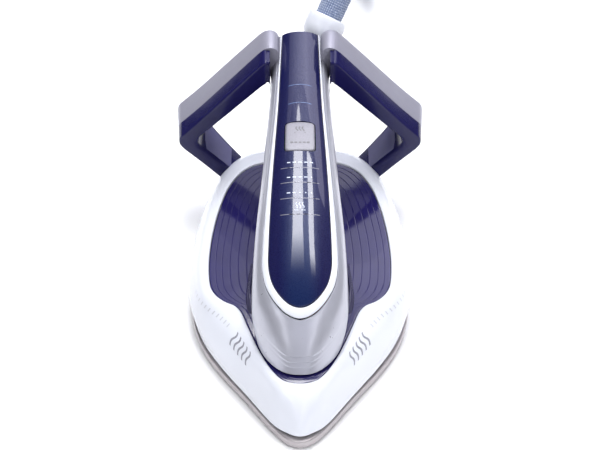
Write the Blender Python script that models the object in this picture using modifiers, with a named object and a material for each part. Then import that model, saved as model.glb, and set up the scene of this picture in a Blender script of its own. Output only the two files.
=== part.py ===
"""Hand iron of a steam-generator set, as an assembly of separate pieces.

Frame: the nose points along -Y, the heel along +Y, +Z is up and the sole lies on z = 0.
The origin is the centre of the sole plane under the iron's own box, without its hose.
Lengths are written in millimetres and turned into metres by mm().
"""
import math

import bmesh
import bpy
from mathutils import Matrix, Vector

# ---------------------------------------------------------------- driving dimensions, mm
GAP = 0.35                      # clearance between neighbouring pieces
SOLE_THICKNESS = 5.0
SOLE_CHAMFER = 1.3
CASTING_BASE = SOLE_THICKNESS + GAP
CASTING_TOP = 16.0
CHAMBER_FLOOR = 9.0
LID_THICKNESS = 1.5
SHIELD_BASE = 21.2
SHIELD_THICKNESS = 1.2
SKIRT_BASE = 7.2                # the skirt hangs this high, over a dark shadow gap
WALL = 2.2                      # wall of the moulded shells
COVER_FRONT = (-101.0, 26.0)    # y, z of the base cover's front edge
COVER_REAR = (88.0, 34.0)       # y, z of its rear edge
COVER_HOLE = (-58.0, 12.0)      # y and radius of the passage into the nose column
STEAM_INLET = (6.0, -56.0)      # x, y of the pipe's end on the chamber lid

GRIP_ORIGIN = (0.0, 0.0, 88.0)  # a point on the handle's top line
GRIP_TILT = math.radians(14.6)  # slope of that line, rising to the heel
PANEL_WALL = 2.0
TRIM_WALL = 1.4
BUTTON_PLACE = 23.9             # along the top line
BUTTON_SIZE = (16.2, 21.4)
TRIGGER_PIN = (-38.0, -22.4)    # along, and below, the top line
TRIGGER_WIDTH = 13.0
BOARD_TOP = -14.1
FRAME_TOP = -16.0

HEEL_TILT = math.radians(12.0)  # the heel ring leans its top towards the nose
HEEL_FOOT = (92.0, 10.0)        # y, z of the ring's front face at its foot
HEEL_SPLIT = 11.5               # depth at which the grey shell begins

COLLAR_TOP = (16.5, 118.0, 115.8)
COLLAR_AXIS = (0.42, 0.45, 0.79)

HOSE_DIAMETER = 16.0
HANK_RADIUS = 48.0              # of its rounded ends, to the middle of the hose
HANK_FRONT = 424.0              # y of the centre of its front end
HANK_REAR = 560.0               # y of the centre of its rear end
HANK_HEIGHT = 33.2              # two turns, one on the other
HANK_MOUTH = 386.5              # y at which the hose enters it
TAIL_HEIGHT = 41.6              # z of the hose's last stretch, on top of the hank
END_PLACE = (48.0, 447.0, 44.5) # mouth of the sleeve at the hose's end
CLIP_PLACE = 535.0              # y of the clip on the hank's right side

# half outlines from nose to heel: x, y
SOLE_HALF = (
    (0.0, -121.0), (7.0, -118.2), (15.4, -107.6), (28.6, -86.4), (42.2, -65.5), (51.9, -46.6),
    (57.3, -28.4), (60.2, -8.0), (60.6, 10.0), (58.8, 34.0), (55.2, 58.0), (50.0, 80.0),
    (43.0, 97.0), (32.0, 109.5), (17.0, 115.0), (0.0, 116.5))
SKIRT_LOW_HALF = (
    (0.0, -119.4), (7.0, -116.4), (14.2, -109.6), (27.4, -88.4), (40.6, -67.2), (50.2, -48.6),
    (56.2, -30.4), (59.6, -9.0), (60.2, 9.0), (58.6, 33.0), (55.2, 57.0), (50.0, 79.0),
    (43.2, 96.0), (32.4, 108.4), (17.0, 113.4), (0.0, 114.6))
SKIRT_WIDE_HALF = (
    (0.0, -118.6), (7.2, -115.4), (14.8, -108.0), (28.4, -86.6), (42.0, -65.4), (52.2, -46.0),
    (58.6, -27.6), (61.3, -9.0), (61.4, 7.0), (59.9, 32.0), (56.5, 58.0), (51.5, 79.8),
    (45.2, 96.9), (33.7, 111.6), (19.0, 116.2), (0.0, 117.2))
COVER_HALF = (
    (0.0, -101.0), (7.0, -99.4), (11.6, -94.8), (16.4, -86.4), (21.8, -73.4), (26.9, -58.4),
    (30.6, -47.2), (34.2, -41.4), (40.2, -37.4), (45.0, -32.0), (48.0, -24.6), (49.3, -12.0),
    (49.5, 4.0), (48.2, 24.0), (45.2, 46.0), (40.4, 66.0), (32.6, 81.0), (21.0, 88.6),
    (0.0, 90.6))
CASTING_HALF = (
    (0.0, -98.0), (12.0, -88.0), (26.0, -66.0), (38.0, -44.0), (45.0, -20.0), (46.5, 6.0),
    (45.0, 36.0), (41.0, 60.0), (34.0, 78.0), (20.0, 87.0), (0.0, 88.5))
CHAMBER_HALF = (
    (0.0, -72.0), (9.0, -58.0), (19.0, -30.0), (25.0, 6.0), (22.0, 38.0), (0.0, 50.0))
LID_HALF = (
    (0.0, -77.0), (13.0, -60.0), (23.5, -30.0), (30.0, 6.0), (26.5, 41.0), (0.0, 56.0))
SHIELD_HALF = (
    (0.0, -91.0), (14.0, -80.0), (28.0, -58.0), (40.0, -30.0), (43.0, 6.0), (42.0, 36.0),
    (38.0, 60.0), (30.0, 76.0), (0.0, 84.0))
ELEMENT_HALF = (
    (0.0, -85.0), (9.5, -79.0), (19.5, -62.0), (28.0, -42.0), (34.5, -15.0), (36.8, 10.0),
    (35.6, 40.0), (31.0, 65.0), (27.4, 80.0), (26.4, 90.0))

# handle sections from heel to foot: top y, z; bottom y, z; half width; roundness power
HANDLE_SECTIONS = (
    (102.0, 114.5, 106.0, 84.0, 16.3, 2.6), (95.0, 112.7, 100.0, 83.0, 16.3, 2.6),
    (75.0, 107.5, 82.0, 79.0, 16.4, 2.6), (50.0, 101.0, 57.0, 73.0, 17.5, 2.6),
    (25.0, 94.5, 32.0, 66.5, 19.2, 2.6), (0.0, 88.0, 7.0, 60.0, 20.8, 2.6),
    (-27.0, 80.8, -19.0, 53.0, 22.9, 2.55), (-48.0, 73.2, -35.0, 48.0, 24.0, 2.4),
    (-66.0, 65.0, -42.0, 44.0, 24.6, 2.2), (-79.0, 56.4, -43.5, 39.5, 24.8, 2.0),
    (-87.0, 46.0, -43.0, 36.0, 24.6, 1.85), (-92.5, 36.5, -41.5, 33.0, 23.8, 1.7),
    (-97.0, 27.7, -40.0, 30.4, 22.4, 1.6))
# where the silver shell ends and the lower grip begins, in degrees round each section
GRIP_EDGE = (92.0, 92.0, 92.0, 92.0, 92.0, 92.0, 93.0, 97.0, 104.0, 111.0, 117.0, 120.0, 122.0)
# edges of the top panel and of the white trim: section number, half width
PANEL_EDGE = (
    (0.0, 10.3), (1.0, 10.5), (2.0, 11.1), (3.0, 11.9), (4.0, 13.2), (5.0, 14.5), (6.0, 15.6),
    (7.0, 16.2), (7.6, 16.1), (8.15, 14.0), (8.6, 9.6), (8.87, 5.0), (8.97, 0.0))
TRIM_EDGE = (
    (0.0, 11.4), (1.0, 11.6), (2.0, 12.3), (3.0, 13.3), (4.0, 15.0), (5.0, 16.7), (6.0, 18.2),
    (7.0, 19.2), (7.62, 19.3), (8.25, 17.4), (8.8, 12.8), (9.22, 6.8), (9.39, 0.0))

# heel wing stations from the handle, round the corner, to the foot, in the ring's plane:
# outer x, height; inner x, height; how far the rear outer edge flares out; depth
WING_STATIONS = (
    (11.8, 101.0, 11.8, 97.9, 0.0, 29.3), (13.6, 104.2, 13.9, 96.2, 0.2, 29.3),
    (17.3, 105.3, 16.9, 91.0, 0.4, 29.3), (21.5, 103.2, 18.8, 88.8, 0.8, 29.3),
    (42.5, 78.2, 35.0, 71.4, 1.2, 29.3), (61.6, 55.2, 53.2, 52.0, 1.6, 29.3),
    (66.0, 50.8, 56.6, 48.6, 2.0, 29.3), (68.8, 47.6, 58.3, 45.6, 2.3, 29.3),
    (69.8, 43.6, 58.7, 42.6, 2.4, 29.0), (68.9, 39.8, 57.8, 39.4, 2.2, 28.6),
    (66.4, 35.8, 55.4, 36.0, 1.8, 28.0), (57.2, 25.5, 50.2, 30.2, 1.0, 25.0),
    (46.6, 12.9, 40.2, 18.3, 0.4, 21.5), (38.6, 3.6, 32.6, 9.2, 0.0, 20.0))

# the low ribs beside the nose column: x, y, half width, height
RIB_STATIONS = (
    (26.8, -47.0, 0.5, 0.8), (27.6, -42.0, 1.3, 4.0), (28.0, -35.0, 1.7, 6.4),
    (27.8, -26.0, 1.6, 5.6), (27.2, -16.0, 1.2, 3.2), (26.6, -6.0, 0.5, 0.8))

# the hose's free run from the collar to the hank, in metres
HOSE_ROUTE = (
    (0.0157, 0.1171, 0.1143), (0.0241, 0.1262, 0.1301), (0.0358, 0.1420, 0.1500),
    (0.0480, 0.1690, 0.1680), (0.0560, 0.2050, 0.1740), (0.0590, 0.2430, 0.1620),
    (0.0585, 0.2770, 0.1340), (0.0560, 0.3080, 0.0970), (0.0530, 0.3370, 0.0600),
    (0.0502, 0.3620, 0.0300), (0.0486, 0.3806, 0.0148))

COLOURS = {
    "sole_metal": ((0.62, 0.60, 0.59), 0.25, 1.0),
    "cast_metal": ((0.55, 0.55, 0.56), 0.5, 1.0),
    "white_plastic": ((0.85, 0.87, 0.92), 0.2, 0.0),
    "navy_cover": ((0.05, 0.05, 0.16), 0.12, 0.0),
    "navy_shell": ((0.05, 0.05, 0.15), 0.25, 0.0),
    "panel_blue": ((0.02, 0.05, 0.20), 0.1, 0.3),
    "silver_plastic": ((0.62, 0.63, 0.67), 0.3, 0.5),
    "grey_shell": ((0.55, 0.55, 0.62), 0.35, 0.1),
    "button_silver": ((0.75, 0.74, 0.78), 0.35, 0.4),
    "dark_grip": ((0.06, 0.06, 0.12), 0.6, 0.0),
    "inner_plastic": ((0.30, 0.30, 0.30), 0.6, 0.0),
    "board_green": ((0.03, 0.20, 0.08), 0.5, 0.0),
    "clear_guide": ((0.85, 0.88, 0.90), 0.1, 0.0),
    "spring_steel": ((0.65, 0.65, 0.66), 0.3, 1.0),
    "insulation": ((0.70, 0.67, 0.58), 0.9, 0.0),
    "silicone": ((0.75, 0.30, 0.22), 0.6, 0.0),
    "hose_textile": ((0.30, 0.35, 0.50), 0.9, 0.0),
    "grey_rubber": ((0.25, 0.26, 0.28), 0.8, 0.0),
    "brass": ((0.75, 0.58, 0.28), 0.3, 1.0),
}


# ---------------------------------------------------------------- scene and small helpers
def mm(value):
    return value * 0.001


def vec(x, y, z):
    return Vector((mm(x), mm(y), mm(z)))


def clear_scene():
    for item in list(bpy.data.objects):
        bpy.data.objects.remove(item, do_unlink=True)


def new_collection(name):
    group = bpy.data.collections.new(name)
    bpy.context.scene.collection.children.link(group)
    return group


clear_scene()
PARTS = new_collection("steam_iron")
CUTTERS = new_collection("cutters")


def material(slot):
    if slot in bpy.data.materials:
        return bpy.data.materials[slot]
    colour, roughness, metallic = COLOURS[slot]
    made = bpy.data.materials.new(slot)
    made.use_nodes = True
    shader = made.node_tree.nodes["Principled BSDF"]
    shader.inputs["Base Color"].default_value = (*colour, 1.0)
    shader.inputs["Roughness"].default_value = roughness
    shader.inputs["Metallic"].default_value = metallic
    made.diffuse_color = (*colour, 1.0)
    return made


def adopt(item, name, slot, cutter=False):
    """Name an object, move it to its collection and give it its material."""
    item.name = name
    for owner in list(item.users_collection):
        owner.objects.unlink(item)
    if cutter:
        CUTTERS.objects.link(item)
        item.hide_render = True
        item.display_type = "WIRE"
        return item
    PARTS.objects.link(item)
    item.data.materials.clear()
    item.data.materials.append(material(slot))
    return item


def shade(item, angle=40.0):
    item.data.shade_smooth()
    item.data.set_sharp_from_angle(angle=math.radians(angle))
    return item


def mesh_object(name, verts, faces, slot, cutter=False):
    mesh = bpy.data.meshes.new(name)
    mesh.from_pydata([tuple(v) for v in verts], [], faces)
    work = bmesh.new()
    work.from_mesh(mesh)
    bmesh.ops.remove_doubles(work, verts=work.verts, dist=1e-6)
    bmesh.ops.dissolve_degenerate(work, edges=work.edges, dist=1e-6)
    work.to_mesh(mesh)
    work.free()
    item = bpy.data.objects.new(name, mesh)
    bpy.context.scene.collection.objects.link(item)
    return adopt(item, name, slot, cutter)


def grid(name, rows, slot, flip=False):
    """An open sheet through rows of points."""
    verts = [point for row in rows for point in row]
    width = len(rows[0])
    faces = []
    for i in range(len(rows) - 1):
        for j in range(width - 1):
            a = i * width + j
            face = (a, a + 1, a + width + 1, a + width)
            faces.append(tuple(reversed(face)) if flip else face)
    return mesh_object(name, verts, faces, slot)


def loft(name, rings, slot, cutter=False):
    """A closed solid through rings of equal count, capped at both ends."""
    count = len(rings[0])
    verts = [point for ring in rings for point in ring]
    faces = [tuple(range(count))]
    for i in range(len(rings) - 1):
        for j in range(count):
            a = i * count + j
            b = i * count + (j + 1) % count
            faces.append((a, a + count, b + count, b))
    last = (len(rings) - 1) * count
    faces.append(tuple(reversed(range(last, last + count))))
    item = mesh_object(name, verts, faces, slot, cutter)
    work = bmesh.new()
    work.from_mesh(item.data)
    bmesh.ops.recalc_face_normals(work, faces=work.faces)
    work.to_mesh(item.data)
    work.free()
    return item


def mirror_x(item):
    mod = item.modifiers.new("mirror", "MIRROR")
    mod.use_axis = (True, False, False)
    mod.use_mirror_merge = True
    mod.merge_threshold = 0.00001
    return item


def solidify(item, thickness):
    mod = item.modifiers.new("wall", "SOLIDIFY")
    mod.thickness = mm(thickness)
    mod.offset = -1.0
    mod.use_even_offset = True
    return item


def bevel(item, width, segments=1, angle=30.0):
    mod = item.modifiers.new("edges", "BEVEL")
    mod.width = mm(width)
    mod.segments = segments
    mod.limit_method = "ANGLE"
    mod.angle_limit = math.radians(angle)
    return item


def boolean(item, tool, operation="DIFFERENCE"):
    mod = item.modifiers.new(tool.name, "BOOLEAN")
    mod.operation = operation
    mod.solver = "EXACT"
    mod.object = tool
    return item


def apply_modifiers(item):
    """Replace an object's mesh with its evaluated one, so that it can be a clean tool."""
    graph = bpy.context.evaluated_depsgraph_get()
    mesh = bpy.data.meshes.new_from_object(item.evaluated_get(graph))
    work = bmesh.new()
    work.from_mesh(mesh)
    bmesh.ops.remove_doubles(work, verts=work.verts, dist=1e-6)
    work.to_mesh(mesh)
    work.free()
    item.modifiers.clear()
    item.data = mesh
    return item


def curve_to_mesh(item):
    """Turn a curve object into a welded mesh object of the same name and place."""
    graph = bpy.context.evaluated_depsgraph_get()
    graph.update()
    mesh = bpy.data.meshes.new_from_object(item.evaluated_get(graph))
    work = bmesh.new()
    work.from_mesh(mesh)
    bmesh.ops.remove_doubles(work, verts=work.verts, dist=1e-6)
    bmesh.ops.recalc_face_normals(work, faces=work.faces)
    work.to_mesh(mesh)
    work.free()
    name = item.name
    owner = item.users_collection[0]
    made = bpy.data.objects.new(name + "_mesh", mesh)
    made.matrix_world = item.matrix_world.copy()
    made.hide_render = item.hide_render
    made.display_type = item.display_type
    owner.objects.link(made)
    bpy.data.objects.remove(item, do_unlink=True)
    made.name = name
    return made


def catmull(p0, p1, p2, p3, t):
    """A point on the smooth curve between p1 and p2; points are tuples of any size."""
    out = []
    for a, b, c, d in zip(p0, p1, p2, p3):
        out.append(0.5 * (2 * b + (c - a) * t + (2 * a - 5 * b + 4 * c - d) * t * t
                          + (3 * b - a - 3 * c + d) * t ** 3))
    return tuple(out)


def smooth_at(points, place):
    """The smooth curve through points, at a place counted in points."""
    last = len(points) - 1
    i = min(int(place), last - 1)
    before = points[i - 1] if i > 0 else tuple(2 * a - b for a, b in zip(points[0], points[1]))
    after = points[i + 2] if i + 2 <= last else tuple(
        2 * a - b for a, b in zip(points[last], points[last - 1]))
    return catmull(before, points[i], points[i + 1], after, place - i)


def even_samples(points, count, fine=24):
    """count + 1 points at equal steps along the smooth curve through points."""
    last = len(points) - 1
    dense = [smooth_at(points, last * i / (last * fine)) for i in range(last * fine + 1)]
    walked = [0.0]
    for a, b in zip(dense, dense[1:]):
        walked.append(walked[-1] + math.dist(a, b))
    out = []
    j = 0
    for i in range(count + 1):
        goal = walked[-1] * i / count
        while j < len(dense) - 2 and walked[j + 1] < goal:
            j += 1
        part = (goal - walked[j]) / max(walked[j + 1] - walked[j], 1e-9)
        out.append(tuple(a + (b - a) * part for a, b in zip(dense[j], dense[j + 1])))
    return out


def half_outline(points, count):
    """A half outline, nose to heel, that crosses the middle plane squarely."""
    first, second = points[0], points[1]
    last, previous = points[-1], points[-2]
    padded = [(-second[0], second[1])] + list(points) + [(-previous[0], previous[1])]
    dense = []
    fine = 24
    for i in range(1, len(padded) - 2):
        for k in range(fine):
            dense.append(catmull(padded[i - 1], padded[i], padded[i + 1], padded[i + 2], k / fine))
    dense.append(last)
    walked = [0.0]
    for a, b in zip(dense, dense[1:]):
        walked.append(walked[-1] + math.dist(a, b))
    out = []
    j = 0
    for i in range(count + 1):
        goal = walked[-1] * i / count
        while j < len(dense) - 2 and walked[j + 1] < goal:
            j += 1
        part = (goal - walked[j]) / max(walked[j + 1] - walked[j], 1e-9)
        out.append(tuple(a + (b - a) * part for a, b in zip(dense[j], dense[j + 1])))
    out[0] = (0.0, first[1])
    out[-1] = (0.0, last[1])
    return out


def full_outline(points, count):
    half = half_outline(points, count)
    return half + [(-x, y) for x, y in reversed(half[1:-1])]


def plate(name, points, count, base, thickness, slot, cutter=False):
    """A flat outline, extruded, as a mesh that stands on base."""
    data = bpy.data.curves.new(name, "CURVE")
    data.dimensions = "2D"
    data.fill_mode = "BOTH"
    data.extrude = mm(thickness) / 2
    ring = full_outline(points, count)
    spline = data.splines.new("POLY")
    spline.points.add(len(ring) - 1)
    for target, (x, y) in zip(spline.points, ring):
        target.co = (mm(x), mm(y), 0.0, 1.0)
    spline.use_cyclic_u = True
    item = bpy.data.objects.new(name, data)
    bpy.context.scene.collection.objects.link(item)
    item.location.z = mm(base + thickness / 2)
    adopt(item, name, slot, cutter)
    bpy.context.view_layer.update()
    return curve_to_mesh(item)


def tube(name, route, radius, slot, sides=2, cutter=False, as_mesh=False):
    """A round rod along points given in metres."""
    data = bpy.data.curves.new(name, "CURVE")
    data.dimensions = "3D"
    data.bevel_depth = mm(radius)
    data.bevel_resolution = sides
    data.use_fill_caps = True
    spline = data.splines.new("POLY")
    spline.points.add(len(route) - 1)
    for target, point in zip(spline.points, route):
        target.co = (*point, 1.0)
    item = bpy.data.objects.new(name, data)
    bpy.context.scene.collection.objects.link(item)
    adopt(item, name, slot, cutter)
    bpy.context.view_layer.update()
    return curve_to_mesh(item) if as_mesh else item


def box(name, size, place, slot, tilt=0.0, edge=0.0, cutter=False):
    """A block of size (x, y, z) mm, centred on place, tilted about X."""
    bpy.ops.mesh.primitive_cube_add(size=1.0)
    item = bpy.context.object
    item.data.transform(Matrix.Diagonal((mm(size[0]), mm(size[1]), mm(size[2]), 1.0)))
    item.location = place
    item.rotation_euler = (tilt, 0.0, 0.0)
    adopt(item, name, slot, cutter)
    if edge:
        bevel(item, edge)
    return item


def rod(name, radius, length, place, slot, axis=(0, 0, 1), sides=16, cutter=False):
    """A cylinder centred on place along an axis."""
    bpy.ops.mesh.primitive_cylinder_add(vertices=sides, radius=mm(radius), depth=mm(length))
    item = bpy.context.object
    item.rotation_mode = "QUATERNION"
    item.rotation_quaternion = Vector(axis).to_track_quat("Z", "Y")
    item.location = place
    return adopt(item, name, slot, cutter)


def turned(name, profile, place, slot, axis=(0, 0, 1), steps=16, cutter=False):
    """A solid of revolution; the profile (radius, height) runs down its outer side."""
    mesh = bpy.data.meshes.new(name)
    verts = [(mm(r), 0.0, mm(h)) for r, h in profile]
    edges = [(i, i + 1) for i in range(len(verts) - 1)]
    closed = profile[0][0] > 1e-9
    if closed:
        edges.append((len(verts) - 1, 0))
    mesh.from_pydata(verts, edges, [])
    item = bpy.data.objects.new(name, mesh)
    bpy.context.scene.collection.objects.link(item)
    mod = item.modifiers.new("turn", "SCREW")
    mod.steps = steps
    mod.render_steps = steps
    mod.use_merge_vertices = True
    mod.merge_threshold = 0.00001
    mod.use_smooth_shade = True
    item.rotation_mode = "QUATERNION"
    item.rotation_quaternion = Vector(axis).to_track_quat("Z", "Y")
    item.location = place
    adopt(item, name, slot, cutter)
    bpy.context.view_layer.update()
    return item


def screw(name, place, slot, head=(2.8, 1.8), shank=(1.5, 10.0), axis=(0, 0, 1)):
    """A pan-head screw whose head's underside is at place."""
    head_radius, head_height = head
    shank_radius, shank_length = shank
    profile = ((0.0, head_height), (head_radius * 0.7, head_height), (head_radius, head_height * 0.5),
               (head_radius, 0.0), (shank_radius, 0.0), (shank_radius, -shank_length + 1.0),
               (0.0, -shank_length))
    return turned(name, profile, place, slot, axis, steps=12)


# ---------------------------------------------------------------- base
def cover_height(y):
    """Height of the base cover's upper face, mm."""
    slope = (COVER_REAR[1] - COVER_FRONT[1]) / (COVER_REAR[0] - COVER_FRONT[0])
    return COVER_FRONT[1] + (y - COVER_FRONT[0]) * slope


def inset(half, distance):
    """A half outline moved inwards by a distance, along its own normals."""
    out = []
    for i, (x, y) in enumerate(half):
        ax, ay = half[max(i - 1, 0)]
        bx, by = half[min(i + 1, len(half) - 1)]
        tx, ty = bx - ax, by - ay
        size = math.hypot(tx, ty)
        out.append((max(x - distance * ty / size, 0.0), y + distance * tx / size))
    out[0] = (0.0, half[0][1] + distance)
    out[-1] = (0.0, half[-1][1] - distance)
    return out


def ring_at(half, height):
    ring = half + [(-x, y) for x, y in reversed(half[1:-1])]
    return [vec(x, y, height) for x, y in ring]


def make_soleplate():
    half = half_outline(SOLE_HALF, 26)
    narrow = inset(half, SOLE_CHAMFER)
    rings = [ring_at(narrow, 0.0), ring_at(half, SOLE_CHAMFER), ring_at(half, SOLE_THICKNESS)]
    sole = loft("soleplate", rings, "sole_metal")
    holes = [(8.0, -96.0), (17.0, -82.0), (27.0, -64.0), (36.0, -45.0), (42.0, -25.0), (45.0, -4.0),
             (15.0, -60.0), (24.0, -36.0)]
    for number, (x, y) in enumerate(holes):
        for side in (-1, 1):
            name = f"steam_hole_{number}_{'left' if side < 0 else 'right'}"
            tool = rod(name, 1.6, 12.0, vec(side * x, y, 2.5), None, sides=8, cutter=True)
            boolean(sole, tool)
    return shade(sole)


def make_casting():
    casting = plate("heater_casting", CASTING_HALF, 20, CASTING_BASE, CASTING_TOP - CASTING_BASE,
                    "cast_metal")
    chamber = plate("chamber_cut", CHAMBER_HALF, 12, CHAMBER_FLOOR, 12.0, None, cutter=True)
    boolean(casting, chamber)
    groove = tube("element_groove", element_route(94.0), 3.9, None, cutter=True, as_mesh=True)
    boolean(casting, groove)
    for number, (x, y) in enumerate(lid_screw_places()):
        tool = rod(f"casting_hole_{number}", 1.85, 12.0, vec(x, y, 14.0), None, sides=12, cutter=True)
        boolean(casting, tool)
    return shade(casting)


def element_route(rear_y):
    """The heater's U-shaped route, from its left end round the nose to its right end."""
    half = even_samples(ELEMENT_HALF, 18)
    half[-1] = (half[-1][0], rear_y)
    right = [vec(x, y, 13.2) for x, y in half]
    left = [vec(-x, y, 13.2) for x, y in reversed(half[1:])]
    return left + right


def make_element():
    element = tube("heating_element", element_route(90.0), 3.5, "cast_metal")
    for side, word in ((-1, "left"), (1, "right")):
        x = ELEMENT_HALF[-1][0] * side
        rod(f"element_terminal_{word}", 1.5, 7.0, vec(x, 93.9, 13.2), "brass", axis=(0, 1, 0), sides=10)
    return element


def lid_screw_places():
    return ((-17.5, -45.0), (17.5, -45.0), (-25.6, 22.0), (25.6, 22.0))


def make_chamber_lid():
    base = CASTING_TOP + GAP
    lid = plate("steam_chamber_cover", LID_HALF, 14, base, LID_THICKNESS, "cast_metal")
    for number, (x, y) in enumerate(lid_screw_places()):
        tool = rod(f"lid_hole_{number}", 1.85, 6.0, vec(x, y, base), None, sides=12, cutter=True)
        boolean(lid, tool)
        screw(f"chamber_screw_{number + 1}", vec(x, y, base + LID_THICKNESS + GAP), "spring_steel")
    inlet = rod("lid_inlet_cut", 2.6, 6.0, vec(*STEAM_INLET, base), None, sides=14, cutter=True)
    boolean(lid, inlet)
    profile = ((3.2, 8.0), (3.2, 1.4), (5.2, 1.4), (5.2, 0.0), (2.2, 0.0), (2.2, 8.0))
    turned("steam_inlet", profile, vec(*STEAM_INLET, base + LID_THICKNESS + GAP), "brass")
    return shade(lid)


def make_heat_parts():
    top = CASTING_TOP + GAP
    profile = ((0.0, 3.4), (4.2, 3.4), (5.0, 2.8), (5.0, 0.0), (0.0, 0.0))
    turned("temperature_sensor", profile, vec(-11.0, 70.0, top), "cast_metal")
    rod("thermal_fuse", 2.1, 15.0, vec(10.0, 70.0, top + 2.1), "insulation", axis=(0, 1, 0), sides=12)
    shield = plate("heat_shield", SHIELD_HALF, 16, SHIELD_BASE, SHIELD_THICKNESS, "insulation")
    passage = rod("shield_passage", 6.4, 8.0, vec(*STEAM_INLET, SHIELD_BASE), None, sides=16, cutter=True)
    return shade(boolean(shield, passage))


def skirt_rows(columns, rows):
    """Rows of the skirt's outer face from its low edge up to the cover's edge."""
    low = half_outline(SKIRT_LOW_HALF, columns)
    wide = half_outline(SKIRT_WIDE_HALF, columns)
    rim = inset(half_outline(COVER_HALF, columns), -0.8)
    made = [[vec(x, y, SKIRT_BASE) for x, y in low]]
    for k in range(rows + 1):
        part = k / rows
        row = []
        for i in range(columns + 1):
            along = i / columns
            wide_height = 10.0 + 16.0 * along ** 1.3
            rim_height = cover_height(rim[i][1]) + 0.7
            swell = math.sin(math.pi * part) * (2.6 + 1.4 * math.sin(math.pi * along))
            x = wide[i][0] + (rim[i][0] - wide[i][0]) * part
            y = wide[i][1] + (rim[i][1] - wide[i][1]) * part
            z = wide_height + (rim_height - wide_height) * math.sin(part * math.pi / 2) ** 0.9
            reach = math.hypot(x, y - 10.0)
            x += 0.25 * swell * x / reach
            y += 0.25 * swell * (y - 10.0) / reach
            row.append(vec(x, y, z + 0.35 * swell))
        row[0].x = 0.0
        row[-1].x = 0.0
        made.append(row)
    return made


def make_skirt():
    skirt = grid("base_skirt", skirt_rows(26, 3), "white_plastic", flip=False)
    mirror_x(skirt)
    solidify(skirt, WALL)
    for side, word in ((-1, "left"), (1, "right")):
        tool = wing_solid(f"wing_cut_{word}", side, 0.5)
        boolean(skirt, tool)
    return shade(skirt)


def make_cover():
    slope = math.atan2(COVER_REAR[1] - COVER_FRONT[1], COVER_REAR[0] - COVER_FRONT[0])
    cover = plate("base_cover", COVER_HALF, 26, 0.0, WALL, "navy_cover")
    middle = Matrix.Translation(vec(0.0, 0.0, -WALL))
    lift = Matrix.Translation(vec(0.0, 0.0, cover_height(0.0)))
    cover.data.transform(lift @ Matrix.Rotation(slope, 4, "X") @ middle @ cover.matrix_world)
    cover.matrix_world = Matrix.Identity(4)
    y, radius = COVER_HOLE
    tool = rod("cover_passage", radius, 20.0, vec(0.0, y, cover_height(y)), None, sides=20, cutter=True)
    return shade(boolean(cover, tool))


def make_rear_bracket():
    bracket = box("rear_bracket", (62.0, 8.4, 9.0), vec(0.0, 102.2, 16.0), "inner_plastic", edge=0.8)
    for side, word in ((-1, "left"), (1, "right")):
        place = vec(side * 22.0, 102.2, 11.5)
        tool = rod(f"bracket_hole_{word}", 1.85, 30.0, place, None, sides=12, cutter=True)
        boolean(bracket, tool)
        screw(f"bracket_screw_{word}", place - vec(0, 0, GAP), "spring_steel", shank=(1.5, 8.0),
              axis=(0, 0, -1))
    return bracket


# ---------------------------------------------------------------- handle
def handle_point(section, angle, proud=0.0):
    """A point on the handle's outer face: section number and angle from the top, degrees."""
    ty, tz, by, bz, half_width, power = smooth_at(HANDLE_SECTIONS, section)
    sine = abs(math.sin(math.radians(angle)))
    cosine = math.cos(math.radians(angle))
    x = half_width * (sine ** (2 / power) if sine > 1e-7 else 0.0)
    up = math.copysign(abs(cosine) ** (2 / power), cosine)
    half_y, half_z = (ty - by) / 2, (tz - bz) / 2
    stretch = 1 + proud / math.hypot(half_y, half_z)
    return vec(x, (ty + by) / 2 + half_y * up * stretch, (tz + bz) / 2 + half_z * up * stretch)


def angle_of(section, x):
    """The angle round a section at which its upper half has the half width x."""
    half_width, power = smooth_at(HANDLE_SECTIONS, section)[4:6]
    return math.degrees(math.asin(min(x / half_width, 1.0) ** (power / 2)))


def grip_edge(section):
    return smooth_at([(value,) for value in GRIP_EDGE], section)[0]


def edge_points(edge, count, widen, advance):
    """Points (section, half width) along a panel edge, moved sideways and at its tip."""
    out = []
    for i in range(count + 1):
        section, x = smooth_at(edge, (len(edge) - 1) * i / count)
        tip = max(section - 7.6, 0.0) / 1.8
        out.append((max(section + advance * tip, 0.0), max(x + widen, 0.0)))
    out[-1] = (out[-1][0], 0.0)
    return out


def make_top_panel():
    rows = []
    for section, x in edge_points(PANEL_EDGE, 18, -0.3, -0.03):
        rows.append([handle_point(section, angle_of(section, x * j / 5), -0.3) for j in range(6)])
    panel = grid("handle_top_panel", rows, "panel_blue", flip=True)
    mirror_x(panel)
    solidify(panel, PANEL_WALL)
    size = (BUTTON_SIZE[0] + 0.8, BUTTON_SIZE[1] + 0.8, 14.0)
    window = box("button_window", size, grip_place(0.0, BUTTON_PLACE, -1.0), None, GRIP_TILT,
                 cutter=True)
    return shade(boolean(panel, window))


def make_trim():
    inner = edge_points(PANEL_EDGE, 18, 0.3, 0.03)
    outer = edge_points(TRIM_EDGE, 18, -0.2, -0.02)
    rows = []
    for (s0, x0), (s1, x1) in zip(inner, outer):
        row = []
        for j in range(3):
            part = j / 2
            section = s0 + (s1 - s0) * part
            row.append(handle_point(section, angle_of(section, x0 + (x1 - x0) * part), 0.3))
        rows.append(row)
    trim = grid("handle_trim", rows, "white_plastic", flip=True)
    mirror_x(trim)
    return shade(solidify(trim, TRIM_WALL))


def make_handle_shell():
    rows = []
    starts = edge_points(TRIM_EDGE, 18, 0.3, 0.03)
    starts += [(section, 0.0) for section in (9.8, 10.3, 10.8, 11.4, 12.0)]
    for section, x in starts:
        first = angle_of(section, x)
        last = grip_edge(section)
        rows.append([handle_point(section, first + (last - first) * j / 7) for j in range(8)])
    shell = grid("handle_shell", rows, "silver_plastic", flip=True)
    mirror_x(shell)
    return shade(solidify(shell, WALL))


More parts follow.
